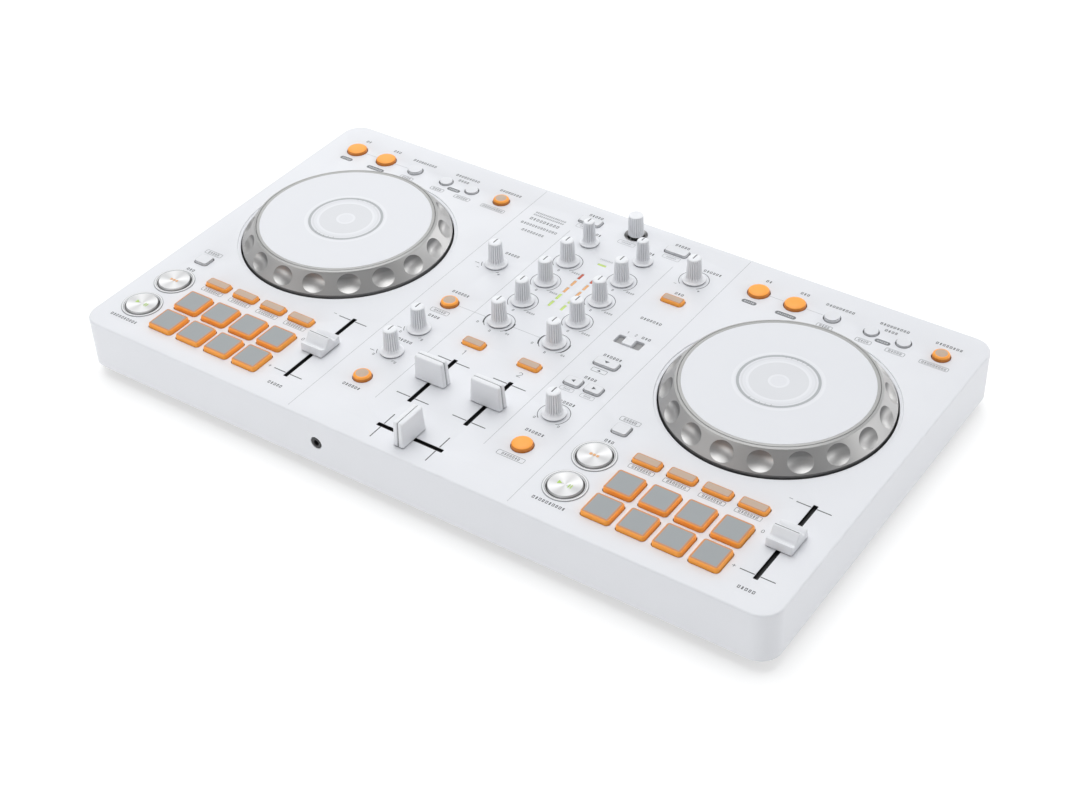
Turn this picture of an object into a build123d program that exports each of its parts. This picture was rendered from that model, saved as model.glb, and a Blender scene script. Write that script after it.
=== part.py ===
"""A two-deck DJ controller: jog wheels, knobs, faders, keys, case and the pieces inside it.

Millimetres. X runs left to right, Y front to back and Z up. The origin is the point on the
table under the middle of the case. Control places are measured from the panel's centre, and
deck places from that deck's jog centre in X and from the panel's centre in Y.
"""
from build123d import *
from math import cos, radians, sin
import os

# ---- case ----
WIDTH = 482.0
DEPTH = 270.0
PANEL_TOP = 41.5
CASE_HEIGHT = 32.7
WALL = 2.6
PANEL = 2.5
CORNER_R = 13.0
EDGE_R = 1.2
CASE_BOTTOM = PANEL_TOP - CASE_HEIGHT
UNDERSIDE = PANEL_TOP - PANEL
KEY_GAP = 0.4
KNOB_HOLE_R = 4.2

# ---- bottom cover, feet and screws ----
COVER_INSET = 6.0
COVER_BOTTOM = 4.5
COVER_THICK = 2.5
COVER_FLOOR = COVER_BOTTOM + COVER_THICK
COVER_RIM_TOP = 11.0
COVER_WALL = 2.5
COVER_EDGE = 0.8
COVER_POST_R = 5.5
RIM_GAP = 0.3
FOOT_R = 11.0
FOOT_BASE_R = 9.4
FOOT_ROLL = (10.6, 1.2)
FOOT_SINK = 1.0
FOOT_GAP = 0.1
FOOT_PLACES = [(x, y) for x in (-205, 0, 205) for y in (-105, 105)]
SCREW_PLACES = [(sx * x, sy * y) for x, y in ((228, 122), (77, 125)) for sx in (-1, 1) for sy in (-1, 1)]
SCREW_R = 1.45
SCREW_HEAD_R = 2.9
SCREW_HEAD = 2.0
SCREW_HEAD_TOP = COVER_FLOOR + 1.5
SCREW_HEAD_EDGE = 0.5
SCREW_CROSS = (3.0, 0.7)
SCREW_CROSS_DEPTH = 1.2
SCREW_LENGTH = 15.5
SCREW_GAP = 0.4
PILOT_GAP = 0.05
BOSS_R = 4.0

# ---- boards, potentiometers and switches under the panel ----
BOARD_TOP = 27.6
BOARD_THICK = 1.6
BOARD_CORNER = 3.0
MIXER_BOARD = (144.0, 250.0)
MIXER_BOARD_Y = 3.0
DECK_BOARD = (139.0, 239.0)
DECK_BOARD_SHIFT = 5.0
DECK_BOARD_Y = -2.5
PHONES_BOARD = (22.0, 10.0)
PHONES_BOARD_Z = 3.7
REAR_BOARD_DEPTH = 24.0
REAR_BOARD_Y = 113.0
BOARD_SPINDLE_GAP = 2.0
SWITCH_SIZE = 6.0
SWITCH_HEIGHT = 3.5
SWITCH_PIP = 1.0
SWITCH_PIP_R = 1.7
PLUNGER_GAP = 0.4
POT_SIZE = (10.5, 11.5)
POT_CORNER = 0.8
POT_FLOOR = 1.0
POT_BUSH_WALL = 1.0
POT_BODY_TOP = 34.0
POT_BUSH_TOP = 38.0
STEM_R = 3.0
RUNNING_GAP = 0.3
POST_R = 3.0
MIXER_POSTS = [(x, y) for x in (-38.5, 38.5) for y in (-100.0, 85.0)]
DECK_POSTS = [(-50.0, 90.0), (50.0, 90.0), (-45.0, -50.0), (48.0, -50.0)]

# ---- jog wheels ----
DECK_X = 157.0
JOG_Y = 22.0
JOG_BASE_R = 67.6
JOG_BASE_Z = 1.2
JOG_RIM_R = 59.0
JOG_RIM_Z = 12.3
JOG_DISC_R = 57.25
JOG_TOP_Z = 13.2
WELL_R = 68.6
WELL_STEP_R = 70.5
WELL_STEP = 0.5
WELL_WALL = 2.0
WELL_DEPTH = 9.0
DIMPLES = 18
DIMPLE_SPHERE_R = 12.0
DIMPLE_DEPTH = 2.2
JOG_SKIRT_R = 64.2
JOG_SKIRT_Z = -5.5
JOG_WEB_R = 56.0
JOG_WEB_Z = 7.5
JOG_SEAT_Z = 9.9
JOG_LIP = (57.6, 13.1)
JOG_LIP_INNER_Z = 13.0
JOG_HUB_R = 10.0
DISC_GAP = 0.15
DISC_EDGE = 0.2
SPINDLE_R = 6.0
SPINDLE_TOP_Z = 7.0
SPINDLE_FOOT_R = 12.0
SPINDLE_FOOT = 2.0
SPINDLE_HOLE_GAP = 2.5

# ---- knobs ----
KNOB_HEIGHT = 17.4
KNOB_LIFT = 0.6
KNOB_SKIRT_R = 7.3
KNOB_BODY_R = 5.1
TRIM_SKIRT_R = 6.3
TRIM_BODY_R = 4.4
KNOB_TAPER = 4.0
SKIRT_EDGE = 0.5
SKIRT_RISE = 2.4
GRIP_START = 1.8
STEM_END = 2.0
FLUTES = 20
FLUTE_DEPTH = 0.35
FLUTE_R = 0.9
RING_KNOBS = {
    "microphone_level_knob": (-57.0, 46.5),
    "phones_mix_knob": (-57.0, -33.5),
    "phones_level_knob": (-57.0, -60.0),
    "master_level_knob": (57.0, 97.0),
    "effect_depth_knob": (57.0, -57.0),
}
CHANNEL_X = 20.0
KNOB_PITCH = 24.7
FILTER_Y = -2.0
CHANNEL_KNOBS = ["filter", "low", "mid", "high", "trim"]
BROWSE = (0.0, 120.5)
BROWSE_HOLE_R = 7.5
BROWSE_R = 5.2
BROWSE_HEIGHT = 15.5
BROWSE_LIFT = 0.7
BROWSE_SHAFT_R = 3.0
BROWSE_SHAFT_TOP = 10.0
BROWSE_TAPER = 1.5

# ---- keys: caps and their heights above the panel ----
KEY_TRAVEL = 1.0
PLUNGER_R = 1.6
STRIP_BOTTOM = 36.7
STRIP_TOP = 38.3
STRIP_MARGIN = 1.0
KEY_CORNER = 1.8
KEY_EASE = 0.5
PAD_CORNER = 2.0
TRANSPORT_BEVEL = 0.7
STRIP_OVERHANG = 3.0
KEY_Y = 107.0
MODE_Y = -64.8
PAD_X = [-32.75 + 22.25 * column for column in range(4)]
PAD_Y = [-88.0, -110.2]
PAD_SIZE = 18.2
MODE_SIZE = (17.3, 7.3)
TRANSPORT_R = 10.45
BEZEL_R = 13.0
BEZEL_HEIGHT = 0.5
# round keys: (x, y, radius, height); square keys: (x, y, width, depth, height)
DECK_KEYS = {
    "loop_keys": [(-60, KEY_Y, 6.8, 2.6), (-35, KEY_Y, 6.8, 2.6), (-10, KEY_Y, 4.8, 2.0),
                  (16, KEY_Y, 4.3, 1.2), (37, KEY_Y, 4.3, 1.2)],
    "sync_key": [(61, KEY_Y, 5.4, 2.8)],
    "shift_key": [(-60, -48.5, 9.6, 8.6, 1.5)],
    "cue_key": [(-60.5, -75.5, TRANSPORT_R, 1.3)],
    "play_key": [(-60.5, -104.5, TRANSPORT_R, 1.3)],
    "mode_keys": [(x, MODE_Y, *MODE_SIZE, 2.4) for x in PAD_X],
    "pads": [(x, y, PAD_SIZE, PAD_SIZE, 2.9) for y in PAD_Y for x in PAD_X],
}
MIXER_KEYS = {
    "load_keys": [(-32.5, 117.5, 15.5, 7.0, 1.5), (32.5, 117.5, 15.5, 7.0, 1.5)],
    "channel_1_cue_key": [(-CHANNEL_X, -28, 14.7, 7.0, 2.2)],
    "channel_2_cue_key": [(CHANNEL_X, -28, 14.7, 7.0, 2.2)],
    "master_cue_key": [(57.3, 71.5, 14.7, 7.0, 2.2)],
    "fade_assist_key": [(-57, -2.5, 5.6, 2.8)],
    "filter_effect_key": [(-57, -88, 5.6, 2.8)],
    "effect_select_key": [(57.3, -2.5, 15.5, 7.0, 1.5)],
    "beat_keys": [(50.3, -27, 10.5, 7.5, 1.5), (64.3, -27, 10.5, 7.5, 1.5)],
    "effect_on_key": [(57.4, -89, 6.4, 2.8)],
}
# keys of one moulding whose caps stand too far apart for a common strip
SEPARATE_CAPS = ("load_keys",)

# ---- faders ----
SLOT_WIDTH = 2.8
LEVER_THICK = 1.4
LEVER_WIDTH = 5.0
CAP_LIFT = 0.6
FIN_SIZE = (21.5, 7.5)
FIN_HEIGHT = 16.6
FIN_TAPER = 3.5
FIN_CORNER = 1.4
FIN_EDGE = 0.6
LEVER_LAP = 1.0
TEMPO_CAP = (16.0, 18.0)
TEMPO_RIDGE = 9.4
TEMPO_END = 6.2
TEMPO_DIP = 4.6
TEMPO_DIP_SHARE = 0.55
TEMPO_RIDGE_HALF = 1.0
TEMPO_FLARE = 0.4
TEMPO_X = 61.0
SLOT_CORNER = 1.35
# each fader: centre, slot length and whether it runs along X
FADERS = {
    "deck_1_tempo_cap": (-DECK_X + TEMPO_X, -79.0, 66.0, False),
    "deck_2_tempo_cap": (DECK_X + TEMPO_X, -79.0, 66.0, False),
    "channel_1_fader_cap": (-CHANNEL_X, -69.0, 46.0, False),
    "channel_2_fader_cap": (CHANNEL_X, -69.0, 46.0, False),
    "crossfader_cap": (0.0, -117.0, 46.0, True),
}
SLIDE_POT_WIDTH = 9.0
SLIDE_POT_TOP = 34.6
SLIDE_POT_MARGIN = 5.0
LEVER_GAP = 0.6
TROUGH_MARGIN = 1.0
LEVER_BOTTOM = 31.5
LEVER_TROUGH = 30.8

# ---- effect channel switch ----
SWITCH_PLACE = (57.0, 22.3)
SWITCH_RECESS = (18.0, 8.0)
SWITCH_RECESS_DEPTH = 1.8
SWITCH_RECESS_CORNER = 1.0
SWITCH_SLOT = (12.0, 3.0)
SWITCH_BODY = (20.0, 8.0)
SWITCH_TROUGH = (13.0, 2.8)
NUB_SIZE = (7.0, 7.0)
NUB_HEIGHT = 1.2
NUB_GAP = 0.4
NUB_CORNER = 0.8
NUB_EDGE = 0.4
NUB_LEVER = (2.0, 1.6)

# ---- level meters ----
METER_X = 4.5
METER_WIDTH = 1.8
METER_LENGTH = 6.0
METER_PITCH = 8.2
METER_FIRST_Y = 30.5
METER_SEGMENTS = 5
LINK_LAMP = (0.0, 80.5, 6.0, 1.8)
LENS_GAP = 0.05
LENS_DEPTH = 1.0

# ---- sockets ----
PHONES_X = -55.5
PHONES_Z = PANEL_TOP - 16.7
PHONES_BUSH_R = 3.6
PHONES_BORE_R = 1.75
PHONES_BORE = 12.0
PHONES_HOLE_R = 3.9
PHONES_BODY = (8.0, 7.4)
PHONES_BACK = 1.0
PHONES_BORE_MIDDLE = 8.5
BUSH_LAP = 0.5
REAR_Z = 18.6
REAR_BOARD_DROP = 7.5
MIC_X = -62.0
MIC_BUSH_R = 5.6
MIC_BORE_R = 3.2
MIC_BORE = 24.0
MIC_HOLE_R = 5.8
MIC_BODY = (15.0, 14.0)
MIC_BACK = 2.0
OUTPUT_X = -125.0
OUTPUT_PITCH = 18.0
OUTPUT_BODY = (42.0, 15.0)
OUTPUT_BAY = (39.0, 12.0)
OUTPUT_BAY_DEPTH = 9.5
OUTPUT_BACK = 3.0
OUTPUT_WINDOW = (42.4, 15.4)
OUTPUT_CORNER = 2.0
OUTPUT_BAY_CORNER = 1.5
OUTPUT_CONTACT_R = 1.6
OUTPUT_CONTACT_FLOOR = 0.5
OUTPUT_PIN_R = 4.15
OUTPUT_PIN = 8.5
USB_X = 20.0
USB_SIZE = (8.94, 3.26)
USB_SHELL = 0.35
USB_CORNER = 1.5
USB_GAP = 0.1
USB_BACK = 1.0
USB_TONGUE = (6.6, 0.7)
USB_TONGUE_SETBACK = 0.7
USB_DEPTH = 7.0
LOCK_X = -205.0
LOCK_SIZE = (7.0, 3.0)
LOCK_CORNER = 0.8
LOCK_PLATE = (20.0, 12.0)
LOCK_PLATE_THICK = 1.6
REAR_BOARD_SPANS = [(-190.0, -100.0), (-70.0, 32.0)]
FRONT = -DEPTH / 2
BACK = DEPTH / 2

CENTRE_LOW = (Align.CENTER, Align.CENTER, Align.MIN)


def disc(x, y, r, low, high):
    """A round bar standing on Z."""
    return Pos(x, y, low) * Cylinder(r, high - low, align=CENTRE_LOW)


def block(x, y, w, d, low, high, r=0.0):
    """An upright block, with rounded corners when r is given."""
    outline = RectangleRounded(w, d, r) if r else Rectangle(w, d)
    return extrude(Pos(x, y, low) * outline, high - low)


def bar_y(x, z, r, front, back):
    """A round bar lying along Y."""
    return Pos(x, (front + back) / 2, z) * Rot(90, 0, 0) * Cylinder(r, back - front)


def box_y(x, z, w, h, front, back, r=0.0):
    """A block lying along Y, with rounded corners in XZ when r is given."""
    outline = RectangleRounded(w, h, r) if r else Rectangle(w, h)
    return extrude(Pos(x, back, z) * Rot(90, 0, 0) * outline, back - front)


def turned(points):
    """A turned solid from its outline in radius and height."""
    outline = Polyline([(r, 0, z) for r, z in points], close=True)
    return revolve(make_face(outline), Axis.Z, 360)


def cap_outline(key, grow=0.0):
    """The flat outline of a key's cap, grown by a margin on every side."""
    if len(key) == 4:
        return Pos(key[0], key[1]) * Circle(key[2] + grow)
    corner = PAD_CORNER if key[2] == PAD_SIZE else KEY_CORNER
    return Pos(key[0], key[1]) * RectangleRounded(key[2] + 2 * grow, key[3] + 2 * grow, corner + grow)


def prism(outline, low, high):
    """An outline carried from one height to another."""
    return extrude(Pos(0, 0, low) * outline, high - low)


def deck_keys(deck_x):
    """One deck's keys, moved to the deck's own centre."""
    return {name: [(key[0] + deck_x, *key[1:]) for key in keys] for name, keys in DECK_KEYS.items()}


def all_keys():
    """Every key group of the controller by node name."""
    groups = dict(MIXER_KEYS)
    for deck, deck_x in (("deck_1", -DECK_X), ("deck_2", DECK_X)):
        for name, keys in deck_keys(deck_x).items():
            groups[f"{deck}_{name}"] = keys
    return groups


def all_knobs():
    """Every knob's place by node name."""
    places = dict(RING_KNOBS)
    for channel, x in ((1, -CHANNEL_X), (2, CHANNEL_X)):
        for row, name in enumerate(CHANNEL_KNOBS):
            places[f"channel_{channel}_{name}_knob"] = (x, FILTER_Y + row * KNOB_PITCH)
    return places


def lamp_windows(grow=0.0):
    """Flat outlines of the two level meters' segments and of the link lamp."""
    windows = []
    for x in (-METER_X, METER_X):
        for step in range(METER_SEGMENTS):
            place = Pos(x, METER_FIRST_Y + step * METER_PITCH)
            windows.append(place * Rectangle(METER_WIDTH + 2 * grow, METER_LENGTH + 2 * grow))
    x, y, w, d = LINK_LAMP
    windows.append(Pos(x, y) * Rectangle(w + 2 * grow, d + 2 * grow))
    return windows


def top_case():
    """The upper shell: panel, walls, jog wells, screw bosses and board posts."""
    shell = block(0, 0, WIDTH, DEPTH, CASE_BOTTOM, PANEL_TOP, CORNER_R)
    shell = fillet(shell.faces().sort_by(Axis.Z)[-1].edges(), EDGE_R)
    hollow = block(0, 0, WIDTH - 2 * WALL, DEPTH - 2 * WALL, CASE_BOTTOM, UNDERSIDE, CORNER_R - WALL)
    added = [disc(x, y, BOSS_R, COVER_RIM_TOP, UNDERSIDE) for x, y in SCREW_PLACES]
    added += [disc(x, y, POST_R, BOARD_TOP, UNDERSIDE) for x, y in post_places()]
    well_bottom = PANEL_TOP - WELL_DEPTH
    cuts = []
    for x in (-DECK_X, DECK_X):
        added.append(disc(x, JOG_Y, WELL_R + WELL_WALL, well_bottom, UNDERSIDE))
        cuts.append(disc(x, JOG_Y, WELL_R, well_bottom + WELL_WALL, PANEL_TOP))
        cuts.append(disc(x, JOG_Y, WELL_STEP_R, PANEL_TOP - WELL_STEP, PANEL_TOP))
        cuts.append(disc(x, JOG_Y, SPINDLE_R + SPINDLE_HOLE_GAP, well_bottom, PANEL_TOP))
        for y in (DECK_KEYS["cue_key"][0][1], DECK_KEYS["play_key"][0][1]):
            place = x + DECK_KEYS["cue_key"][0][0]
            added.append(disc(place, y, BEZEL_R, UNDERSIDE, PANEL_TOP + BEZEL_HEIGHT))
    for keys in all_keys().values():
        cuts += [prism(cap_outline(key, KEY_GAP), UNDERSIDE, PANEL_TOP + BEZEL_HEIGHT) for key in keys]
    cuts += [disc(x, y, KNOB_HOLE_R, UNDERSIDE, PANEL_TOP) for x, y in all_knobs().values()]
    cuts.append(disc(*BROWSE, BROWSE_HOLE_R, UNDERSIDE, PANEL_TOP))
    for x, y, slot, along_x in FADERS.values():
        w, d = (slot, SLOT_WIDTH) if along_x else (SLOT_WIDTH, slot)
        cuts.append(block(x, y, w, d, UNDERSIDE, PANEL_TOP, SLOT_CORNER))
    recess_floor = PANEL_TOP - SWITCH_RECESS_DEPTH
    cuts.append(block(*SWITCH_PLACE, *SWITCH_RECESS, recess_floor, PANEL_TOP, SWITCH_RECESS_CORNER))
    cuts.append(block(*SWITCH_PLACE, *SWITCH_SLOT, UNDERSIDE, PANEL_TOP))
    cuts += [prism(window, UNDERSIDE, PANEL_TOP) for window in lamp_windows()]
    pilot_top = COVER_RIM_TOP + SCREW_LENGTH
    cuts += [disc(x, y, SCREW_R + PILOT_GAP, COVER_RIM_TOP, pilot_top) for x, y in SCREW_PLACES]
    cuts.append(bar_y(PHONES_X, PHONES_Z, PHONES_HOLE_R, FRONT, FRONT + WALL))
    cuts.append(bar_y(MIC_X, REAR_Z, MIC_HOLE_R, BACK - WALL, BACK))
    cuts.append(box_y(OUTPUT_X, REAR_Z, *OUTPUT_WINDOW, BACK - WALL, BACK, OUTPUT_CORNER))
    w, h = [side + 2 * (USB_SHELL + USB_GAP) for side in USB_SIZE]
    cuts.append(box_y(USB_X, REAR_Z, w, h, BACK - WALL, BACK, h / 2 - USB_GAP))
    cuts.append(box_y(LOCK_X, REAR_Z, *LOCK_SIZE, BACK - WALL, BACK, LOCK_CORNER))
    return (shell - hollow) + added - cuts


def post_places():
    """Posts under the panel that the boards screw to, clear of wells, keys and faders."""
    return MIXER_POSTS + [(deck_x + x, y) for deck_x in (-DECK_X, DECK_X) for x, y in DECK_POSTS]


def bottom_cover():
    """The lower shell: a shallow tray with feet recesses and counterbored screw posts."""
    w, d = WIDTH - 2 * COVER_INSET, DEPTH - 2 * COVER_INSET
    rim_w, rim_d = WIDTH - 2 * (WALL + RIM_GAP), DEPTH - 2 * (WALL + RIM_GAP)
    lower = block(0, 0, w, d, COVER_BOTTOM, CASE_BOTTOM, CORNER_R - COVER_INSET)
    lower = chamfer(lower.faces().sort_by(Axis.Z)[0].edges(), COVER_EDGE)
    upper = block(0, 0, rim_w, rim_d, CASE_BOTTOM, COVER_RIM_TOP, CORNER_R - WALL - RIM_GAP)
    inner_w, inner_d = w - 2 * COVER_WALL, d - 2 * COVER_WALL
    hollow = block(0, 0, inner_w, inner_d, COVER_FLOOR, COVER_RIM_TOP, CORNER_R - COVER_INSET - COVER_WALL)
    tray = lower + upper - hollow
    tray += [disc(x, y, COVER_POST_R, COVER_BOTTOM, COVER_RIM_TOP) for x, y in SCREW_PLACES]
    tray -= [disc(x, y, SCREW_R + SCREW_GAP, COVER_BOTTOM, COVER_RIM_TOP) for x, y in SCREW_PLACES]
    tray -= [disc(x, y, SCREW_HEAD_R + SCREW_GAP, COVER_BOTTOM, SCREW_HEAD_TOP) for x, y in SCREW_PLACES]
    tray -= [disc(x, y, FOOT_R + FOOT_GAP, COVER_BOTTOM, COVER_BOTTOM + FOOT_SINK) for x, y in FOOT_PLACES]
    return tray


def rubber_feet():
    """Six round feet, each with a rolled lower edge."""
    foot_top = COVER_BOTTOM + FOOT_SINK
    shape = turned([(0, 0), (FOOT_BASE_R, 0), FOOT_ROLL, (FOOT_R, foot_top), (0, foot_top)])
    return [Pos(x, y, 0) * shape for x, y in FOOT_PLACES]


def case_screws():
    """Eight pan-head screws with cross recesses, heads down."""
    head_bottom = SCREW_HEAD_TOP - SCREW_HEAD
    screw = disc(0, 0, SCREW_HEAD_R, head_bottom, SCREW_HEAD_TOP)
    screw = chamfer(screw.faces().sort_by(Axis.Z)[0].edges(), SCREW_HEAD_EDGE)
    screw += disc(0, 0, SCREW_R, SCREW_HEAD_TOP, SCREW_HEAD_TOP + SCREW_LENGTH)
    for w, d in (SCREW_CROSS, SCREW_CROSS[::-1]):
        screw -= block(0, 0, w, d, head_bottom, head_bottom + SCREW_CROSS_DEPTH)
    return [Pos(x, y, 0) * screw for x, y in SCREW_PLACES]


def circuit_boards():
    """Panel boards with a tact switch under every key, and two small socket boards."""
    bottom = BOARD_TOP - BOARD_THICK
    solids = [block(0, MIXER_BOARD_Y, *MIXER_BOARD, bottom, BOARD_TOP, BOARD_CORNER)]
    for side in (-1, 1):
        x = side * (DECK_X - DECK_BOARD_SHIFT)
        board = block(x, DECK_BOARD_Y, *DECK_BOARD, bottom, BOARD_TOP, BOARD_CORNER)
        solids.append(board - disc(side * DECK_X, JOG_Y, SPINDLE_R + BOARD_SPINDLE_GAP, bottom, BOARD_TOP))
    pip_top = BOARD_TOP + SWITCH_HEIGHT + SWITCH_PIP
    for keys in all_keys().values():
        for key in keys:
            body = block(key[0], key[1], SWITCH_SIZE, SWITCH_SIZE, BOARD_TOP, BOARD_TOP + SWITCH_HEIGHT)
            solids.append(body + disc(key[0], key[1], SWITCH_PIP_R, BOARD_TOP + SWITCH_HEIGHT, pip_top))
    front_board = PHONES_Z - PHONES_BOARD_Z
    front_y = FRONT + PHONES_BORE_MIDDLE
    solids.append(block(PHONES_X, front_y, *PHONES_BOARD, front_board - BOARD_THICK, front_board))
    rear_board = REAR_Z - REAR_BOARD_DROP
    for low, high in REAR_BOARD_SPANS:
        middle, length = (low + high) / 2, high - low
        board = block(middle, REAR_BOARD_Y, length, REAR_BOARD_DEPTH, rear_board - BOARD_THICK, rear_board)
        solids.append(board)
    return solids


def rotary_pots():
    """A potentiometer under every knob, and the browse encoder's housing."""
    body = block(0, 0, *POT_SIZE, BOARD_TOP, POT_BODY_TOP, POT_CORNER)
    body += disc(0, 0, STEM_R + POT_BUSH_WALL, POT_BODY_TOP, POT_BUSH_TOP)
    body -= disc(0, 0, STEM_R + RUNNING_GAP, BOARD_TOP + POT_FLOOR, POT_BUSH_TOP)
    return [Pos(x, y, 0) * body for x, y in [*all_knobs().values(), BROWSE]]


def slide_pots():
    """A slide potentiometer under every fader, and the effect channel switch's body."""
    solids = []
    for x, y, slot, along_x in FADERS.values():
        length = slot + 2 * SLIDE_POT_MARGIN
        trough = slot + 2 * TROUGH_MARGIN
        turn = Pos(x, y, 0) * Rot(0, 0, 90 if along_x else 0)
        pot = block(0, 0, SLIDE_POT_WIDTH, length, BOARD_TOP, SLIDE_POT_TOP, POT_CORNER)
        width = LEVER_THICK + 2 * LEVER_GAP
        solids.append(turn * (pot - block(0, 0, width, trough, LEVER_TROUGH, SLIDE_POT_TOP)))
    body = block(*SWITCH_PLACE, *SWITCH_BODY, BOARD_TOP, SLIDE_POT_TOP, POT_CORNER)
    solids.append(body - block(*SWITCH_PLACE, *SWITCH_TROUGH, LEVER_TROUGH, SLIDE_POT_TOP))
    return solids


def jog_spindles():
    """The two fixed posts that the jog wheels turn on."""
    foot = disc(0, 0, SPINDLE_FOOT_R, COVER_FLOOR, COVER_FLOOR + SPINDLE_FOOT)
    shape = foot + disc(0, 0, SPINDLE_R, COVER_FLOOR, PANEL_TOP + SPINDLE_TOP_Z)
    return [Pos(x, JOG_Y, 0) * shape for x in (-DECK_X, DECK_X)]


def led_lenses():
    """Clear lenses of the level meters and of the link lamp, flush with the panel."""
    return [prism(window, UNDERSIDE - LENS_DEPTH, PANEL_TOP) for window in lamp_windows(-LENS_GAP)]


def sockets():
    """Phones socket in front; microphone, phono, USB and lock plates behind."""
    phones = bar_y(PHONES_X, PHONES_Z, PHONES_BUSH_R, FRONT, FRONT + WALL + BUSH_LAP)
    phones += box_y(PHONES_X, PHONES_Z, *PHONES_BODY, FRONT + WALL, FRONT + PHONES_BORE + PHONES_BACK)
    phones -= bar_y(PHONES_X, PHONES_Z, PHONES_BORE_R, FRONT, FRONT + PHONES_BORE)
    microphone = bar_y(MIC_X, REAR_Z, MIC_BUSH_R, BACK - WALL - BUSH_LAP, BACK)
    microphone += box_y(MIC_X, REAR_Z, *MIC_BODY, BACK - MIC_BORE - MIC_BACK, BACK - WALL)
    microphone -= bar_y(MIC_X, REAR_Z, MIC_BORE_R, BACK - MIC_BORE, BACK)
    return [phones, microphone, output_block(), usb_socket(), lock_plate()]


def output_block():
    """A recessed bay with two phono sockets standing inside it, flush with the rear wall."""
    floor = BACK - OUTPUT_BAY_DEPTH
    body = box_y(OUTPUT_X, REAR_Z, *OUTPUT_BODY, floor - OUTPUT_BACK, BACK, OUTPUT_CORNER)
    body -= box_y(OUTPUT_X, REAR_Z, *OUTPUT_BAY, floor, BACK, OUTPUT_BAY_CORNER)
    for side in (-1, 1):
        x = OUTPUT_X + side * OUTPUT_PITCH / 2
        body += bar_y(x, REAR_Z, OUTPUT_PIN_R, floor, floor + OUTPUT_PIN)
        body -= bar_y(x, REAR_Z, OUTPUT_CONTACT_R, floor + OUTPUT_CONTACT_FLOOR, floor + OUTPUT_PIN)
    return body


def usb_socket():
    """A USB receptacle: rounded steel shell and centre tongue, open to the rear."""
    w, h = USB_SIZE
    front = BACK - USB_DEPTH - USB_BACK
    outer_w, outer_h = w + 2 * USB_SHELL, h + 2 * USB_SHELL
    shell = box_y(USB_X, REAR_Z, outer_w, outer_h, front, BACK, USB_CORNER + USB_SHELL)
    shell -= box_y(USB_X, REAR_Z, w, h, BACK - USB_DEPTH, BACK, USB_CORNER)
    return shell + box_y(USB_X, REAR_Z, *USB_TONGUE, front, BACK - USB_TONGUE_SETBACK)


def lock_plate():
    """The steel plate behind the security slot."""
    front, back = BACK - WALL - LOCK_PLATE_THICK, BACK - WALL
    plate = box_y(LOCK_X, REAR_Z, *LOCK_PLATE, front, back)
    return plate - box_y(LOCK_X, REAR_Z, *LOCK_SIZE, front, back, LOCK_CORNER)


def jog_ring():
    """The turning rim with its finger dimples, web and hub."""
    top = PANEL_TOP
    bore, recess = SPINDLE_R + RUNNING_GAP, JOG_DISC_R + DISC_GAP
    low, web, seat = top + JOG_SKIRT_Z, top + JOG_WEB_Z, top + JOG_SEAT_Z
    ring = turned([
        (0, web), (bore, web), (bore, low), (JOG_HUB_R, low), (JOG_HUB_R, web), (JOG_WEB_R, web),
        (JOG_SKIRT_R, top), (JOG_SKIRT_R, low), (JOG_BASE_R, low), (JOG_BASE_R, top + JOG_BASE_Z),
        (JOG_RIM_R, top + JOG_RIM_Z), (JOG_LIP[0], top + JOG_LIP[1]), (recess, top + JOG_LIP_INNER_Z),
        (recess, seat), (0, seat)])
    run, rise = JOG_BASE_R - JOG_RIM_R, JOG_RIM_Z - JOG_BASE_Z
    slope = (run ** 2 + rise ** 2) ** 0.5
    out = DIMPLE_SPHERE_R - DIMPLE_DEPTH
    radius = (JOG_BASE_R + JOG_RIM_R) / 2 + out * rise / slope
    height = top + (JOG_BASE_Z + JOG_RIM_Z) / 2 + out * run / slope
    cutters = []
    for step in range(DIMPLES):
        angle = radians(-90 + step * 360 / DIMPLES)
        cutters.append(Pos(radius * cos(angle), radius * sin(angle), height) * Sphere(DIMPLE_SPHERE_R))
    return ring - cutters


def jog_disc():
    """The flat top plate, let into the rim."""
    low, high = PANEL_TOP + JOG_SEAT_Z, PANEL_TOP + JOG_TOP_Z
    edge = [(JOG_DISC_R, high - DISC_EDGE), (JOG_DISC_R - DISC_EDGE, high)]
    return turned([(0, low), (JOG_DISC_R, low), *edge, (0, high)])


def fluted(r, low, high, taper):
    """A tapering grip with shallow flutes down its side."""
    outline = Circle(r)
    for step in range(FLUTES):
        angle = radians(step * 360 / FLUTES)
        spread = r + FLUTE_R - FLUTE_DEPTH
        outline -= Pos(spread * cos(angle), spread * sin(angle)) * Circle(FLUTE_R)
    return extrude(Pos(0, 0, low) * outline, high - low, taper=taper)


def knob(skirt_r, body_r):
    """A skirted knob with the stem that turns in its potentiometer."""
    base = PANEL_TOP + KNOB_LIFT
    top = PANEL_TOP + KNOB_HEIGHT
    skirt = turned([(0, base), (skirt_r, base), (skirt_r, base + SKIRT_EDGE), (body_r, base + SKIRT_RISE),
                    (0, base + SKIRT_RISE)])
    grip = fluted(body_r, base + GRIP_START, top, KNOB_TAPER)
    return skirt + grip + disc(0, 0, STEM_R, BOARD_TOP + STEM_END, base + GRIP_START)


def browse_shaft():
    """The push shaft of the browse encoder, with a collar under the knob."""
    low = BOARD_TOP + POT_FLOOR + KEY_TRAVEL + PLUNGER_GAP
    return Pos(*BROWSE, 0) * disc(0, 0, BROWSE_SHAFT_R, low, PANEL_TOP + BROWSE_SHAFT_TOP)


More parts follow.
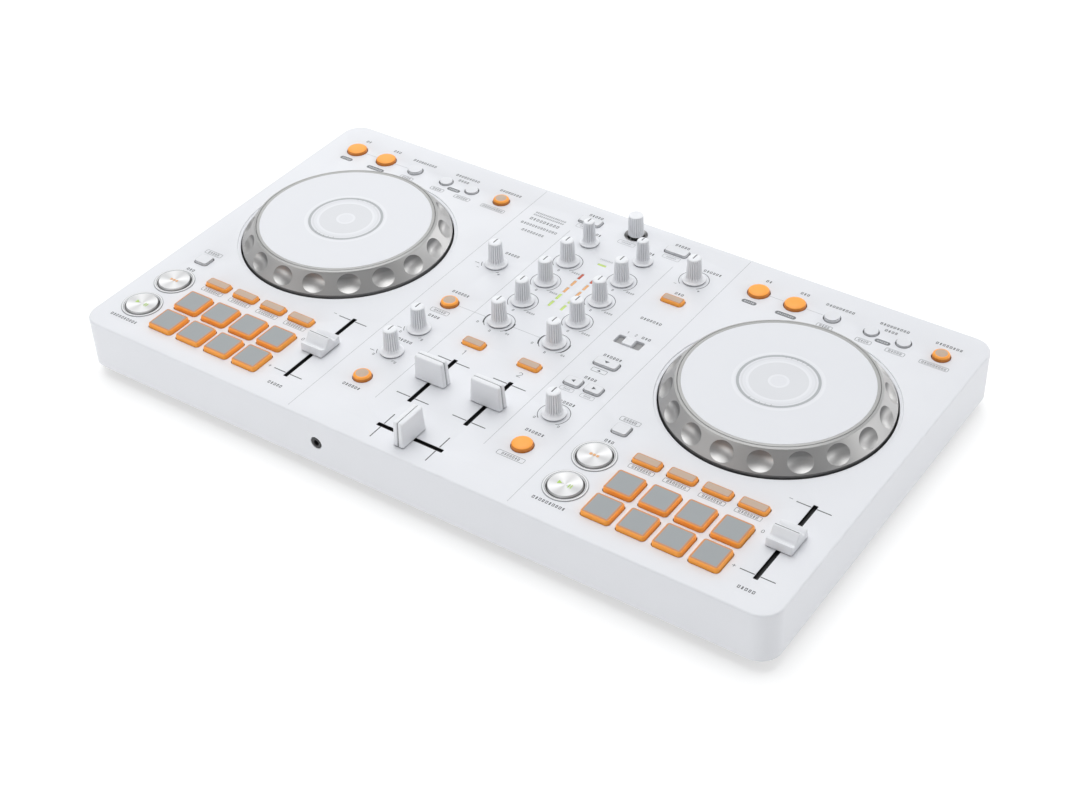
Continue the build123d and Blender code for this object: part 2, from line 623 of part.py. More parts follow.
def browse_knob():
    """The fluted push knob that turns on the browse shaft."""
    base = PANEL_TOP + BROWSE_LIFT
    grip = fluted(BROWSE_R, base, PANEL_TOP + BROWSE_HEIGHT, BROWSE_TAPER)
    grip -= disc(0, 0, BROWSE_SHAFT_R + RUNNING_GAP, base, PANEL_TOP + BROWSE_SHAFT_TOP + RUNNING_GAP)
    return Pos(*BROWSE, 0) * grip


def key_group(name, keys):
    """Key caps on their common strip, with a plunger over each tact switch."""
    plunger_low = BOARD_TOP + SWITCH_HEIGHT + SWITCH_PIP + KEY_TRAVEL + PLUNGER_GAP
    caps = []
    for key in keys:
        top = PANEL_TOP + key[-1]
        cap = prism(cap_outline(key), STRIP_BOTTOM, top)
        rim = cap.faces().sort_by(Axis.Z)[-1].edges()
        cap = chamfer(rim, TRANSPORT_BEVEL) if key[2] == TRANSPORT_R else fillet(rim, KEY_EASE)
        caps.append(cap + disc(key[0], key[1], PLUNGER_R, plunger_low, STRIP_BOTTOM))
        caps[-1] += prism(cap_outline(key, STRIP_MARGIN), STRIP_BOTTOM, STRIP_TOP)
    if len(keys) == 1 or name in SEPARATE_CAPS:
        return caps
    low_x, high_x = min(key[0] for key in keys), max(key[0] for key in keys)
    low_y, high_y = min(key[1] for key in keys), max(key[1] for key in keys)
    middle = ((low_x + high_x) / 2, (low_y + high_y) / 2)
    depth = high_y - low_y + 2 * STRIP_OVERHANG
    strip = block(*middle, high_x - low_x, depth, STRIP_BOTTOM, STRIP_TOP)
    return [strip + caps]


def fin_cap():
    """A tall fader cap that narrows towards its top, standing across Y travel."""
    low = PANEL_TOP + CAP_LIFT
    outline = Pos(0, 0, low) * RectangleRounded(*FIN_SIZE, FIN_CORNER)
    body = extrude(outline, FIN_HEIGHT - CAP_LIFT, taper=FIN_TAPER)
    body = fillet(body.faces().sort_by(Axis.Z)[-1].edges(), FIN_EDGE)
    return body + block(0, 0, LEVER_THICK, LEVER_WIDTH, LEVER_BOTTOM, low + LEVER_LAP)


def tempo_cap():
    """A low saddle cap: a ridge across the middle, scooped before and behind it."""
    w, d = TEMPO_CAP
    low = PANEL_TOP + CAP_LIFT
    half, ridge = d / 2, TEMPO_RIDGE_HALF
    dip_y, foot = half * TEMPO_DIP_SHARE, half + TEMPO_FLARE
    end, dip, top = PANEL_TOP + TEMPO_END, PANEL_TOP + TEMPO_DIP, PANEL_TOP + TEMPO_RIDGE
    outline = Polyline((0, ridge, top), (0, -ridge, top))
    outline += ThreePointArc((0, -ridge, top), (0, -dip_y, dip), (0, -half, end))
    outline += Polyline((0, -half, end), (0, -foot, low), (0, foot, low), (0, half, end))
    outline += ThreePointArc((0, half, end), (0, dip_y, dip), (0, ridge, top))
    body = extrude(make_face(outline), w / 2, both=True, dir=(1, 0, 0))
    return body + block(0, 0, LEVER_THICK, LEVER_WIDTH, LEVER_BOTTOM, low + LEVER_LAP)


def switch_nub():
    """The sliding nub of the effect channel switch, with its lever."""
    low = PANEL_TOP - SWITCH_RECESS_DEPTH + NUB_GAP
    nub = block(*SWITCH_PLACE, *NUB_SIZE, low, PANEL_TOP + NUB_HEIGHT, NUB_CORNER)
    nub = fillet(nub.faces().sort_by(Axis.Z)[-1].edges(), NUB_EDGE)
    return nub + block(*SWITCH_PLACE, *NUB_LEVER, LEVER_BOTTOM, low)


def save(name, shapes):
    """Write one node, whether it is one solid or several."""
    solids = shapes if isinstance(shapes, list) else [shapes]
    shape = solids[0] if len(solids) == 1 else Compound(solids)
    export_step(shape, f"parts/{name}.step")


os.makedirs("parts", exist_ok=True)
for make in (top_case, bottom_cover, rubber_feet, case_screws, circuit_boards, rotary_pots,
             slide_pots, jog_spindles, led_lenses, sockets):
    save(make.__name__, make())
ring, plate = jog_ring(), jog_disc()
for deck, deck_x in (("deck_1", -DECK_X), ("deck_2", DECK_X)):
    save(f"{deck}_jog_ring", Pos(deck_x, JOG_Y, 0) * ring)
    save(f"{deck}_jog_disc", Pos(deck_x, JOG_Y, 0) * plate)
large_knob, trim_knob = knob(KNOB_SKIRT_R, KNOB_BODY_R), knob(TRIM_SKIRT_R, TRIM_BODY_R)
for name, (x, y) in all_knobs().items():
    save(name, Pos(x, y, 0) * (trim_knob if "trim" in name else large_knob))
save("browse_shaft", browse_shaft())
save("browse_knob", browse_knob())
for name, keys in all_keys().items():
    save(name, key_group(name, keys))
for name, (x, y, slot, along_x) in FADERS.items():
    cap = tempo_cap() if "tempo" in name else fin_cap()
    save(name, Pos(x, y, 0) * Rot(0, 0, 90 if along_x else 0) * cap)
save("effect_channel_switch", switch_nub())
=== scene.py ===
from math import atan2, cos, hypot, pi, radians, sin, tan

import bmesh
import bpy
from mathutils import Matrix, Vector
from mathutils.geometry import delaunay_2d_cdt


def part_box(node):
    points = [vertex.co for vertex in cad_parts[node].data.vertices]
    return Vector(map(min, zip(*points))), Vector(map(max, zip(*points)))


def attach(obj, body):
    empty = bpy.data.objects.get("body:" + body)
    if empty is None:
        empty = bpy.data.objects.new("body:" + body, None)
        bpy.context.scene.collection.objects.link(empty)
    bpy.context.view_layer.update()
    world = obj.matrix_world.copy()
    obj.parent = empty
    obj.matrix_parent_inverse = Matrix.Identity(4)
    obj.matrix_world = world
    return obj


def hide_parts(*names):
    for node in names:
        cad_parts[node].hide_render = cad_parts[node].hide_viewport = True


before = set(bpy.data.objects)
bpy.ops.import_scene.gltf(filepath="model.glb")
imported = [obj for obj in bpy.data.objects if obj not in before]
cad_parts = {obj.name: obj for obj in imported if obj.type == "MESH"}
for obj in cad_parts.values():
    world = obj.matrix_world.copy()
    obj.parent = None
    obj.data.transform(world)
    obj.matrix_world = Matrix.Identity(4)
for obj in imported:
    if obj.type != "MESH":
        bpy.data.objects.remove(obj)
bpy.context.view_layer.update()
SCENE = bpy.context.scene
MM = 0.001


# ---------------- places taken from the frame
def box_mm(node):
    """A CAD node's box in millimetres."""
    low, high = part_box(node)
    return low / MM, high / MM


def middle(node):
    """The middle of a CAD node's box, seen from above, in millimetres."""
    low, high = box_mm(node)
    return (low.x + high.x) / 2, (low.y + high.y) / 2


CASE_LOW, CASE_HIGH = box_mm("top_case")
BEZEL_RISE = 0.5
TOP = CASE_HIGH.z - BEZEL_RISE
WALL_LOW = CASE_LOW.z
WIDTH = CASE_HIGH.x - CASE_LOW.x
DEPTH = CASE_HIGH.y - CASE_LOW.y
FRONT, BACK = CASE_LOW.y, CASE_HIGH.y
PANEL = 2.5
WALL = 2.6
CORNER_R = 13.0
EDGE_R = 1.2
DECKS = {deck: middle(f"{deck}_jog_ring") for deck in ("deck_1", "deck_2")}

WELL_R = 68.6
WELL_STEP_R = 70.5
WELL_STEP = 0.5
WELL_DEPTH = 9.0
JOG_BASE_R, JOG_BASE_Z = 67.6, 1.2
JOG_RIM_R, JOG_RIM_Z = 59.0, 12.3
JOG_DISC_Z = box_mm("deck_1_jog_disc")[1].z - TOP
DIMPLES = 18

# a key's flange under the panel is wider than its cap on every side
FLANGE = 1.0
KEY_GAP = 0.4
KEY_CORNER = 1.8
PAD_SIZE = 18.2
PAD_CORNER = 2.0
BEZEL_R = 13.0
# key nodes with several equal caps: columns, rows, width and depth of a cap
KEY_GRIDS = {"pads": (4, 2, PAD_SIZE, PAD_SIZE), "mode_keys": (4, 1, 17.3, 7.3),
             "load_keys": (2, 1, 15.5, 7.0), "beat_keys": (2, 1, 10.5, 7.5)}
ROUND_KEYS = ("sync_key", "cue_key", "play_key", "fade_assist_key", "filter_effect_key", "effect_on_key")
TRANSPORT_KEYS = ("cue_key", "play_key")
SLAB_KEYS = ("shift_key", "load_keys", "effect_select_key", "beat_keys")
# a deck's loop keys: distance from the jog's middle in X, radius and height
LOOP_KEYS = [(-60, 6.8, 2.6), (-35, 6.8, 2.6), (-10, 4.8, 2.0), (16, 4.3, 1.2), (37, 4.3, 1.2)]


def kind_of(node):
    """A key node's name without its deck."""
    return node.removeprefix("deck_1_").removeprefix("deck_2_")


def near(value):
    """A measure to a hundredth of a millimetre, because facets make a round part's box slightly small."""
    return round(value, 2)


def spread_out(low, high, size, count):
    """The middles of equal caps that fill a stretch of a node's box."""
    first, last = low + FLANGE + size / 2, high - FLANGE - size / 2
    return [near(first + (last - first) * n / max(1, count - 1)) for n in range(count)]


def caps_of(node):
    """A key node's caps: (x, y, radius, height) if round, or (x, y, width, depth, height)."""
    low, high = box_mm(node)
    kind, rise = kind_of(node), near(high.z - TOP)
    w, d = near(high.x - low.x - 2 * FLANGE), near(high.y - low.y - 2 * FLANGE)
    x, y = (near(value) for value in middle(node))
    if kind == "loop_keys":
        return [(near(DECKS[node[:6]][0] + at), y, r, height) for at, r, height in LOOP_KEYS]
    if kind in ROUND_KEYS:
        return [(x, y, max(w, d) / 2, rise)]
    columns, rows, w, d = KEY_GRIDS.get(kind, (1, 1, w, d))
    return [(x, y, w, d, rise) for y in spread_out(low.y, high.y, d, rows)[::-1]
            for x in spread_out(low.x, high.x, w, columns)]


KEY_NODES = sorted(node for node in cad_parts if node.endswith(("_key", "_keys", "_pads")))
KEYS = {node: caps_of(node) for node in KEY_NODES}
RING_KNOBS = ["microphone_level_knob", "phones_mix_knob", "phones_level_knob", "master_level_knob",
              "effect_depth_knob"]
KNOBS = sorted(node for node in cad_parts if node.endswith("_knob") and node != "browse_knob")
KNOB_HOLE_R = 4.2
BROWSE_HOLE_R = 7.5
SLOT_WIDTH = 2.8
# each fader: the length of its slot and whether it runs along X
FADERS = {"deck_1_tempo_cap": (66.0, False), "deck_2_tempo_cap": (66.0, False),
          "channel_1_fader_cap": (46.0, False), "channel_2_fader_cap": (46.0, False),
          "crossfader_cap": (46.0, True)}
SWITCH = "effect_channel_switch"
SWITCH_RECESS = (18.0, 8.0)
SWITCH_RECESS_DEPTH = 1.8
METER_X = 4.5
METER_SEGMENT = (1.8, 6.0)
METER_YS = [30.5 + 8.2 * n for n in range(5)]
LINK_LAMP = (0.0, 80.5, 6.0, 1.8)
LAMPS = [(x, y, *METER_SEGMENT) for x in (-METER_X, METER_X) for y in METER_YS] + [LINK_LAMP]
PHONES = (-55.5, TOP - 16.7)
REAR_Z = 18.6
MIC_X, OUTPUT_X, USB_X, LOCK_X = -62.0, -125.0, 20.0, -205.0


# ---------------- materials
def srgb(r, g, b):
    """An 8-bit display colour as linear values."""
    return tuple((c / 255 / 12.92) if c <= 10 else ((c / 255 + 0.055) / 1.055) ** 2.4 for c in (r, g, b))


GRAIN = 3500.0
WEAR = 0.04


def ramp(tree, source, low, high, out_low, out_high):
    """A clamped ramp of a value."""
    made = tree.nodes.new("ShaderNodeMapRange")
    for socket, value in (("From Min", low), ("From Max", high), ("To Min", out_low), ("To Max", out_high)):
        made.inputs[socket].default_value = value
    tree.links.new(source, made.inputs["Value"])
    return made.outputs["Result"]


def look(name, color, rough=0.45, metal=0.0, grain=GRAIN, spread=0.02, relief=0.06, glow=0.0):
    """A moulded or metal finish: slow tone drift, fine grain in the relief and uneven gloss."""
    material = bpy.data.materials.new(name)
    material.use_nodes = True
    tree = material.node_tree
    surface = tree.nodes["Principled BSDF"]
    where = tree.nodes.new("ShaderNodeTexCoord")
    slow = tree.nodes.new("ShaderNodeTexNoise")
    fine = tree.nodes.new("ShaderNodeTexNoise")
    for noise, scale, detail in ((slow, 45.0, 4.0), (fine, grain, 2.0)):
        noise.inputs["Scale"].default_value = scale
        noise.inputs["Detail"].default_value = detail
        tree.links.new(where.outputs["Object"], noise.inputs["Vector"])
    tone = tree.nodes.new("ShaderNodeMix")
    tone.data_type = "RGBA"
    tone.inputs["A"].default_value = (*[c * (1 - spread) for c in color], 1)
    tone.inputs["B"].default_value = (*[min(1, c * (1 + spread)) for c in color], 1)
    tree.links.new(slow.outputs["Fac"], tone.inputs["Factor"])
    tree.links.new(tone.outputs["Result"], surface.inputs["Base Color"])
    gloss = ramp(tree, slow.outputs["Fac"], 0, 1, rough - WEAR, rough + WEAR)
    tree.links.new(gloss, surface.inputs["Roughness"])
    bump = tree.nodes.new("ShaderNodeBump")
    bump.inputs["Strength"].default_value = relief
    bump.inputs["Distance"].default_value = 0.0001
    tree.links.new(fine.outputs["Fac"], bump.inputs["Height"])
    tree.links.new(bump.outputs["Normal"], surface.inputs["Normal"])
    surface.inputs["Metallic"].default_value = metal
    if glow:
        surface.inputs["Emission Color"].default_value = (*color, 1)
        surface.inputs["Emission Strength"].default_value = glow
    return material


def shade_undercuts(material, low, high, darkest):
    """Paint shade into a finish's colour where its surface faces up less: the colour darkens as the normal's
    Z falls from high to low.
    """
    tree = material.node_tree
    surface = tree.nodes["Principled BSDF"]
    shape = tree.nodes.new("ShaderNodeNewGeometry")
    split = tree.nodes.new("ShaderNodeSeparateXYZ")
    tree.links.new(shape.outputs["Normal"], split.inputs["Vector"])
    painted_shade = tree.nodes.new("ShaderNodeVectorMath")
    painted_shade.operation = "SCALE"
    tree.links.new(tree.nodes["Mix"].outputs["Result"], painted_shade.inputs["Vector"])
    tree.links.new(ramp(tree, split.outputs["Z"], low, high, darkest, 1.0), painted_shade.inputs["Scale"])
    tree.links.new(painted_shade.outputs["Vector"], surface.inputs["Base Color"])


def painted_sheen_metal(name, sheen_tones, rough, metal):
    """Turned metal with a painted sheen: its colour swings between light and dark with the direction round
    the piece's own axis.
    """
    material = look(name, (sheen_tones[0],) * 3, rough, metal, grain=5000)
    tree = material.node_tree
    surface = tree.nodes["Principled BSDF"]
    where = tree.nodes.new("ShaderNodeTexCoord")
    sheen_angle = tree.nodes.new("ShaderNodeTexGradient")
    sheen_angle.gradient_type = "RADIAL"
    tree.links.new(where.outputs["Object"], sheen_angle.inputs["Vector"])
    ramp = tree.nodes.new("ShaderNodeValToRGB")
    ramp.color_ramp.interpolation = "EASE"
    stops = ramp.color_ramp.elements
    while len(stops) < len(sheen_tones):
        stops.new(0.5)
    for index, tone in enumerate(sheen_tones):
        stops[index].position = index / (len(sheen_tones) - 1)
        stops[index].color = (tone, tone, tone * 1.005, 1)
    tree.links.new(sheen_angle.outputs["Fac"], ramp.inputs["Fac"])
    tree.links.new(ramp.outputs["Color"], surface.inputs["Base Color"])
    return material


WHITE = look("case_white_plastic", (0.725, 0.735, 0.765), rough=0.42, spread=0.012)
SHADE = look("well_shadow_grey", (0.10, 0.10, 0.105), rough=0.6)
# painted shade: a mid grey for the floor of the switch's recess
RECESS_SHADE = look("recess_painted_shade_grey", (0.30, 0.30, 0.305), rough=0.5)
# painted shade: a black for the fader slots' walls and for the sheet that closes them
SLOT_SHADE_BLACK = look("slot_painted_shade_black", (0.012, 0.012, 0.013), rough=0.6)
# painted shade: a grey for the eased edges of keys and the chamfers of the bezels
EDGE_SHADE = look("edge_painted_shade_grey", srgb(146, 148, 152), rough=0.5)
BEZEL = look("bezel_white_plastic", (0.74, 0.745, 0.755), rough=0.3)
INK = look("print_grey", srgb(118, 121, 124), rough=0.5)
PALE_INK = look("print_pale_grey", srgb(168, 171, 174), rough=0.5)
DARK_INK = look("print_dark_grey", srgb(84, 87, 90), rough=0.5)
SILVER = look("jog_silver_paint", (0.50, 0.495, 0.49), rough=0.46, metal=0.95, grain=6000, relief=0.04)
# painted shade: the silver is darker where the dimples' surfaces face up least
shade_undercuts(SILVER, 0.28, 0.60, 0.42)
RIM = look("jog_rim_silver", (0.40, 0.40, 0.395), rough=0.4, metal=0.25)
HALO = look("jog_halo_print", (0.655, 0.665, 0.69), rough=0.5)
GLINT = look("jog_white_print", (0.735, 0.745, 0.775), rough=0.4)
JOG_WHITE = look("jog_white_film", (0.70, 0.71, 0.74), rough=0.5, spread=0.01)
KNOB_WHITE = look("knob_white_plastic", (0.79, 0.80, 0.825), rough=0.33)
# painted shade: a darker grey for the bottoms of the knobs' flutes
KNOB_SHADE = look("knob_groove_painted_shade", (0.60, 0.61, 0.63), rough=0.4)
CAP_WHITE = look("cap_white_plastic", (0.75, 0.76, 0.785), rough=0.36)
CAP_CORE = look("cap_core_grey", (0.20, 0.205, 0.21), rough=0.45)
# painted glow: the orange rubber emits a faint light of its own colour, though it is no lamp
ORANGE = look("key_orange_rubber_painted_glow", (0.95, 0.36, 0.045), rough=0.42, spread=0.04, glow=0.06)
# painted shade: a darker orange for the sides of the rubber keys
ORANGE_SIDE_SHADE = look("key_orange_painted_side_shade", (0.62, 0.19, 0.02), rough=0.42, spread=0.04)
# painted shade: a brown for the rounded rim of the rubber keys
PAD_RIM_SHADE = look("pad_rim_painted_shade_brown", srgb(198, 136, 90), rough=0.5)
PAD_GREY = look("pad_grey_rubber", (0.315, 0.335, 0.345), rough=0.6, relief=0.12)
# painted shade: a mid grey for the eased edges of the white slab keys
KEY_EDGE_SHADE = look("key_edge_painted_shade_grey", (0.50, 0.505, 0.51), rough=0.5)
KEY_WHITE = look("key_white_plastic", (0.70, 0.71, 0.735), rough=0.38)
KEY_AMBER = look("key_amber_face", (0.50, 0.375, 0.285), rough=0.5)
# painted sheen: these colours swing light and dark round each key's axis in place of reflections
SHEEN_FACE = painted_sheen_metal("key_face_painted_sheen", (0.58, 0.84, 0.60, 0.74, 0.56, 0.84, 0.60, 0.76, 0.58), 0.35, 0.2)
SHEEN_EDGE = painted_sheen_metal("key_edge_painted_sheen", (0.30, *(0.08, 0.45, 0.70, 0.50, 0.30) * 2), 0.3, 0.5)
GREEN = look("mark_green", srgb(168, 205, 84), rough=0.4)
MARK_ORANGE = look("mark_orange", srgb(226, 168, 112), rough=0.4)
LENS_GREEN = look("lens_green", (0.52, 0.68, 0.19), rough=0.25, glow=0.08)
LENS_AMBER = look("lens_amber", (0.72, 0.38, 0.16), rough=0.25, glow=0.08)
LENS_RED = look("lens_red", (0.48, 0.10, 0.06), rough=0.25, glow=0.08)
BLACK = look("socket_black_plastic", (0.02, 0.02, 0.022), rough=0.35)
STEEL = look("socket_steel", (0.55, 0.55, 0.56), rough=0.25, metal=1.0)
RED_RING = look("socket_red_plastic", (0.55, 0.03, 0.03), rough=0.35)
COVER = look("cover_grey_plastic", (0.22, 0.222, 0.226), rough=0.5, relief=0.2)
RUBBER = look("foot_black_rubber", (0.03, 0.03, 0.031), rough=0.75, relief=0.2)
SCREW = look("screw_blackened_steel", (0.18, 0.18, 0.185), rough=0.35, metal=1.0)
BOARD = look("board_green_mask", (0.02, 0.16, 0.06), rough=0.35)
POT = look("pot_grey_plastic", (0.25, 0.25, 0.255), rough=0.5)
SPINDLE = look("spindle_turned_steel", (0.55, 0.55, 0.56), rough=0.25, metal=1.0)
SHAFT = look("shaft_grey_plastic", (0.12, 0.12, 0.125), rough=0.5)


# ---------------- outlines, in millimetres
def ring_loop(x, y, r, n=48):
    """A circle as points."""
    return [(x + r * cos(2 * pi * i / n), y + r * sin(2 * pi * i / n)) for i in range(n)]


def box_loop(x, y, w, d, r, n=5):
    """A rounded rectangle as points, from its front right corner."""
    r = max(r, 0.01)
    loop = []
    for corner, (side, end) in enumerate(((1, -1), (1, 1), (-1, 1), (-1, -1))):
        for i in range(n + 1):
            angle = radians(90 * (corner - 1) + 90 * i / n)
            loop.append((x + side * (w / 2 - r) + r * cos(angle), y + end * (d / 2 - r) + r * sin(angle)))
    return loop


def round_hole(x, y, r, n=48):
    """A round outline that can be grown."""
    return lambda grow: ring_loop(x, y, r + grow, n)


def box_hole(x, y, w, d, r, n=5):
    """A rounded rectangular outline that can be grown."""
    return lambda grow: box_loop(x, y, w + 2 * grow, d + 2 * grow, r + grow, n)


def key_corner(key):
    """Corner radius of a rectangular key."""
    return PAD_CORNER if key[2] == PAD_SIZE else KEY_CORNER


def key_hole(key, gap):
    """The outline of a key's cap, grown by a gap."""
    if len(key) == 4:
        return round_hole(key[0], key[1], key[2] + gap)
    return box_hole(key[0], key[1], key[2] + 2 * gap, key[3] + 2 * gap, key_corner(key) + gap)


def lift(loop, z):
    """A flat loop at one height."""
    return [(x, y, z) for x, y in loop]


def inside(point, loop):
    """Whether a flat point is inside a loop."""
    x, y = point
    hit = False
    for (ax, ay), (bx, by) in zip(loop, loop[1:] + loop[:1]):
        if (ay > y) != (by > y) and x < (bx - ax) * (y - ay) / (by - ay) + ax:
            hit = not hit
    return hit


def fill(outer, holes, extra=()):
    """A flat region with holes as points and triangles."""
    points, edges = [], []
    for loop in [outer, *holes]:
        start = len(points)
        points += [Vector(p) for p in loop]
        edges += [(start + i, start + (i + 1) % len(loop)) for i in range(len(loop))]
    points += [Vector(p) for p in extra]
    flat, _, faces, *_ = delaunay_2d_cdt(points, edges, [], 1, 1e-5)
    boxes = [(min(p[0] for p in h), max(p[0] for p in h), min(p[1] for p in h), max(p[1] for p in h), h)
             for h in holes]
    kept = []
    for face in faces:
        x = sum(flat[i].x for i in face) / len(face)
        y = sum(flat[i].y for i in face) / len(face)
        if not any(a < x < b and c < y < d and inside((x, y), h) for a, b, c, d, h in boxes):
            kept.append(face)
    return [(v.x, v.y) for v in flat], kept


# ---------------- solids from lofts
class Shape:
    """Points in millimetres and faces; each face has a paint number and may be flat shaded."""

    def __init__(self):
        self.points, self.faces, self.paint, self.flat = [], [], [], []

    def add(self, points, faces, paint=0, flat=False):
        start = len(self.points)
        self.points += [tuple(p) for p in points]
        for face in faces:
            self.faces.append([start + i for i in face])
            self.paint.append(paint)
            self.flat.append(flat)

    def cap(self, ring, paint=0, flat=True):
        self.add(ring, [list(range(len(ring)))], paint, flat)

    def loft(self, rings, paint=0, low=False, high=False, skip=()):
        """A skin through rings of equally many points; paint is one number or one for each band."""
        n = len(rings[0])
        paints = paint if isinstance(paint, (list, tuple)) else [paint] * (len(rings) - 1)
        for band, (one, two) in enumerate(zip(rings, rings[1:])):
            faces = [(i, (i + 1) % n, n + (i + 1) % n, n + i) for i in range(n) if (band, i) not in skip]
            self.add([*one, *two], faces, paints[band])
        if low:
            self.cap(rings[0][::-1], paints[0])
        if high:
            self.cap(rings[-1], paints[-1])

    def stack(self, outline, steps, paint=0, high=True):
        """A loft of one outline: steps are (grow, height)."""
        self.loft([lift(outline(grow), z) for grow, z in steps], paint, False, high)

    def turn(self, profile, x=0.0, y=0.0, n=64, paint=0, wave=None, high=True):
        """A turned skin from below: profile is (radius, height); wave(angle, height) thins it."""
        rings = []
        for r, z in profile:
            ring = []
            for i in range(n):
                angle = 2 * pi * i / n
                radius = r - (wave(angle, z) if wave else 0.0)
                ring.append((x + radius * cos(angle), y + radius * sin(angle), z))
            rings.append(ring)
        self.loft(rings, paint, False, high)

    def mesh(self, name, looks, crease=32):
        """The finished mesh in metres, welded, with its finishes."""
        mesh = bpy.data.meshes.new(name)
        mesh.from_pydata([Vector(p) * MM for p in self.points], [], self.faces)
        for material in looks:
            mesh.materials.append(material)
        mesh.polygons.foreach_set("material_index", self.paint)
        mesh.polygons.foreach_set("use_smooth", [not flat for flat in self.flat])
        work = bmesh.new()
        work.from_mesh(mesh)
        bmesh.ops.remove_doubles(work, verts=work.verts, dist=2e-6)
        bmesh.ops.recalc_face_normals(work, faces=work.faces)
        work.to_mesh(mesh)
        work.free()
        mesh.set_sharp_from_angle(angle=radians(crease))
        mesh.update()
        return mesh


def over_panel(profile):
    """A profile whose heights are measured from the panel."""
    return [(r, TOP + z) for r, z in profile]


def flat_box(shape, x, y, w, d, z, paint):
    """A flat rectangle printed on a piece."""
    corners = [(x - w / 2, y - d / 2, z), (x + w / 2, y - d / 2, z), (x + w / 2, y + d / 2, z),
               (x - w / 2, y + d / 2, z)]
    shape.add(corners, [(0, 1, 2, 3)], paint, True)


def piece(name, shape, looks, body, stands_for=(), place=(0.0, 0.0, 0.0), crease=32):
    """A finished piece that rides on a body; shape may be a mesh made before."""
    mesh = shape.mesh(name, looks, crease) if isinstance(shape, Shape) else shape
    made = bpy.data.objects.new(name, mesh)
    SCENE.collection.objects.link(made)
    made.location = Vector(place) * MM
    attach(made, body)
    if stands_for:
        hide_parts(*stands_for)
    return made


def stand_in(name, node, shape, looks, place=(0.0, 0.0), body=None, crease=32):
    """A piece that takes the place of one CAD node; its body has the node's name unless it is given."""
    return piece(name, shape, looks, body or node, [node], (*place, 0), crease)


# ---------------- case
CHAMFER = 0.25
LENS_CORNER = 0.2
JOG_SIDES = 180


def mouth(shape, outline, depth, wall_paint=0):
    """The eased edge and the wall of an opening in the panel."""
    rings = [lift(outline(CHAMFER), TOP), lift(outline(CHAMFER * 0.3), TOP - CHAMFER * 0.3),
             lift(outline(0), TOP - CHAMFER), lift(outline(0), TOP - depth)]
    shape.loft(rings, [0, 0, wall_paint])


def bezelled(node):
    """Whether a key node is one of the round transport keys that stand in raised bezels."""
    return node.startswith("deck") and kind_of(node) in TRANSPORT_KEYS


def panel_holes():
    """Every opening through the panel, without the jog wells and the bezelled keys."""
    holes = [key_hole(key, KEY_GAP) for node, keys in KEYS.items() if not bezelled(node) for key in keys]
    holes += [round_hole(*middle(knob), KNOB_HOLE_R, 24) for knob in KNOBS]
    holes.append(round_hole(*middle("browse_knob"), BROWSE_HOLE_R))
    return holes + [box_hole(*lamp, LENS_CORNER, 2) for lamp in LAMPS]


def fader_holes():
    """The square-ended slots of the faders."""
    holes = []
    for node, (length, along_x) in FADERS.items():
        w, d = (length, SLOT_WIDTH) if along_x else (SLOT_WIDTH, length)
        holes.append(box_hole(*middle(node), w, d, 0.3, 2))
    return holes


def upright_sheet(shape, outlines, y, inward):
    """The flat stretch of the front or rear wall, outside and inside, with openings drawn in X and Z."""
    reach = WIDTH / 2 - CORNER_R
    outside, inside_face = (0, CHAMFER, WALL_LOW + 0.3, TOP - EDGE_R), (WALL, 0, WALL_LOW, TOP - PANEL)
    for depth, grow, low, high in (outside, inside_face):
        outer = [(-reach, low), (reach, low), (reach, high), (-reach, high)]
        flat, faces = fill(outer, [outline(grow) for outline in outlines])
        shape.add([(x, y + inward * depth, z) for x, z in flat], faces, 0, True)
    for outline in outlines:
        rings = []
        for grow, depth in ((CHAMFER, 0), (0, CHAMFER), (0, WALL)):
            rings.append([(x, y + inward * depth, z) for x, z in outline(grow)])
        shape.loft(rings)


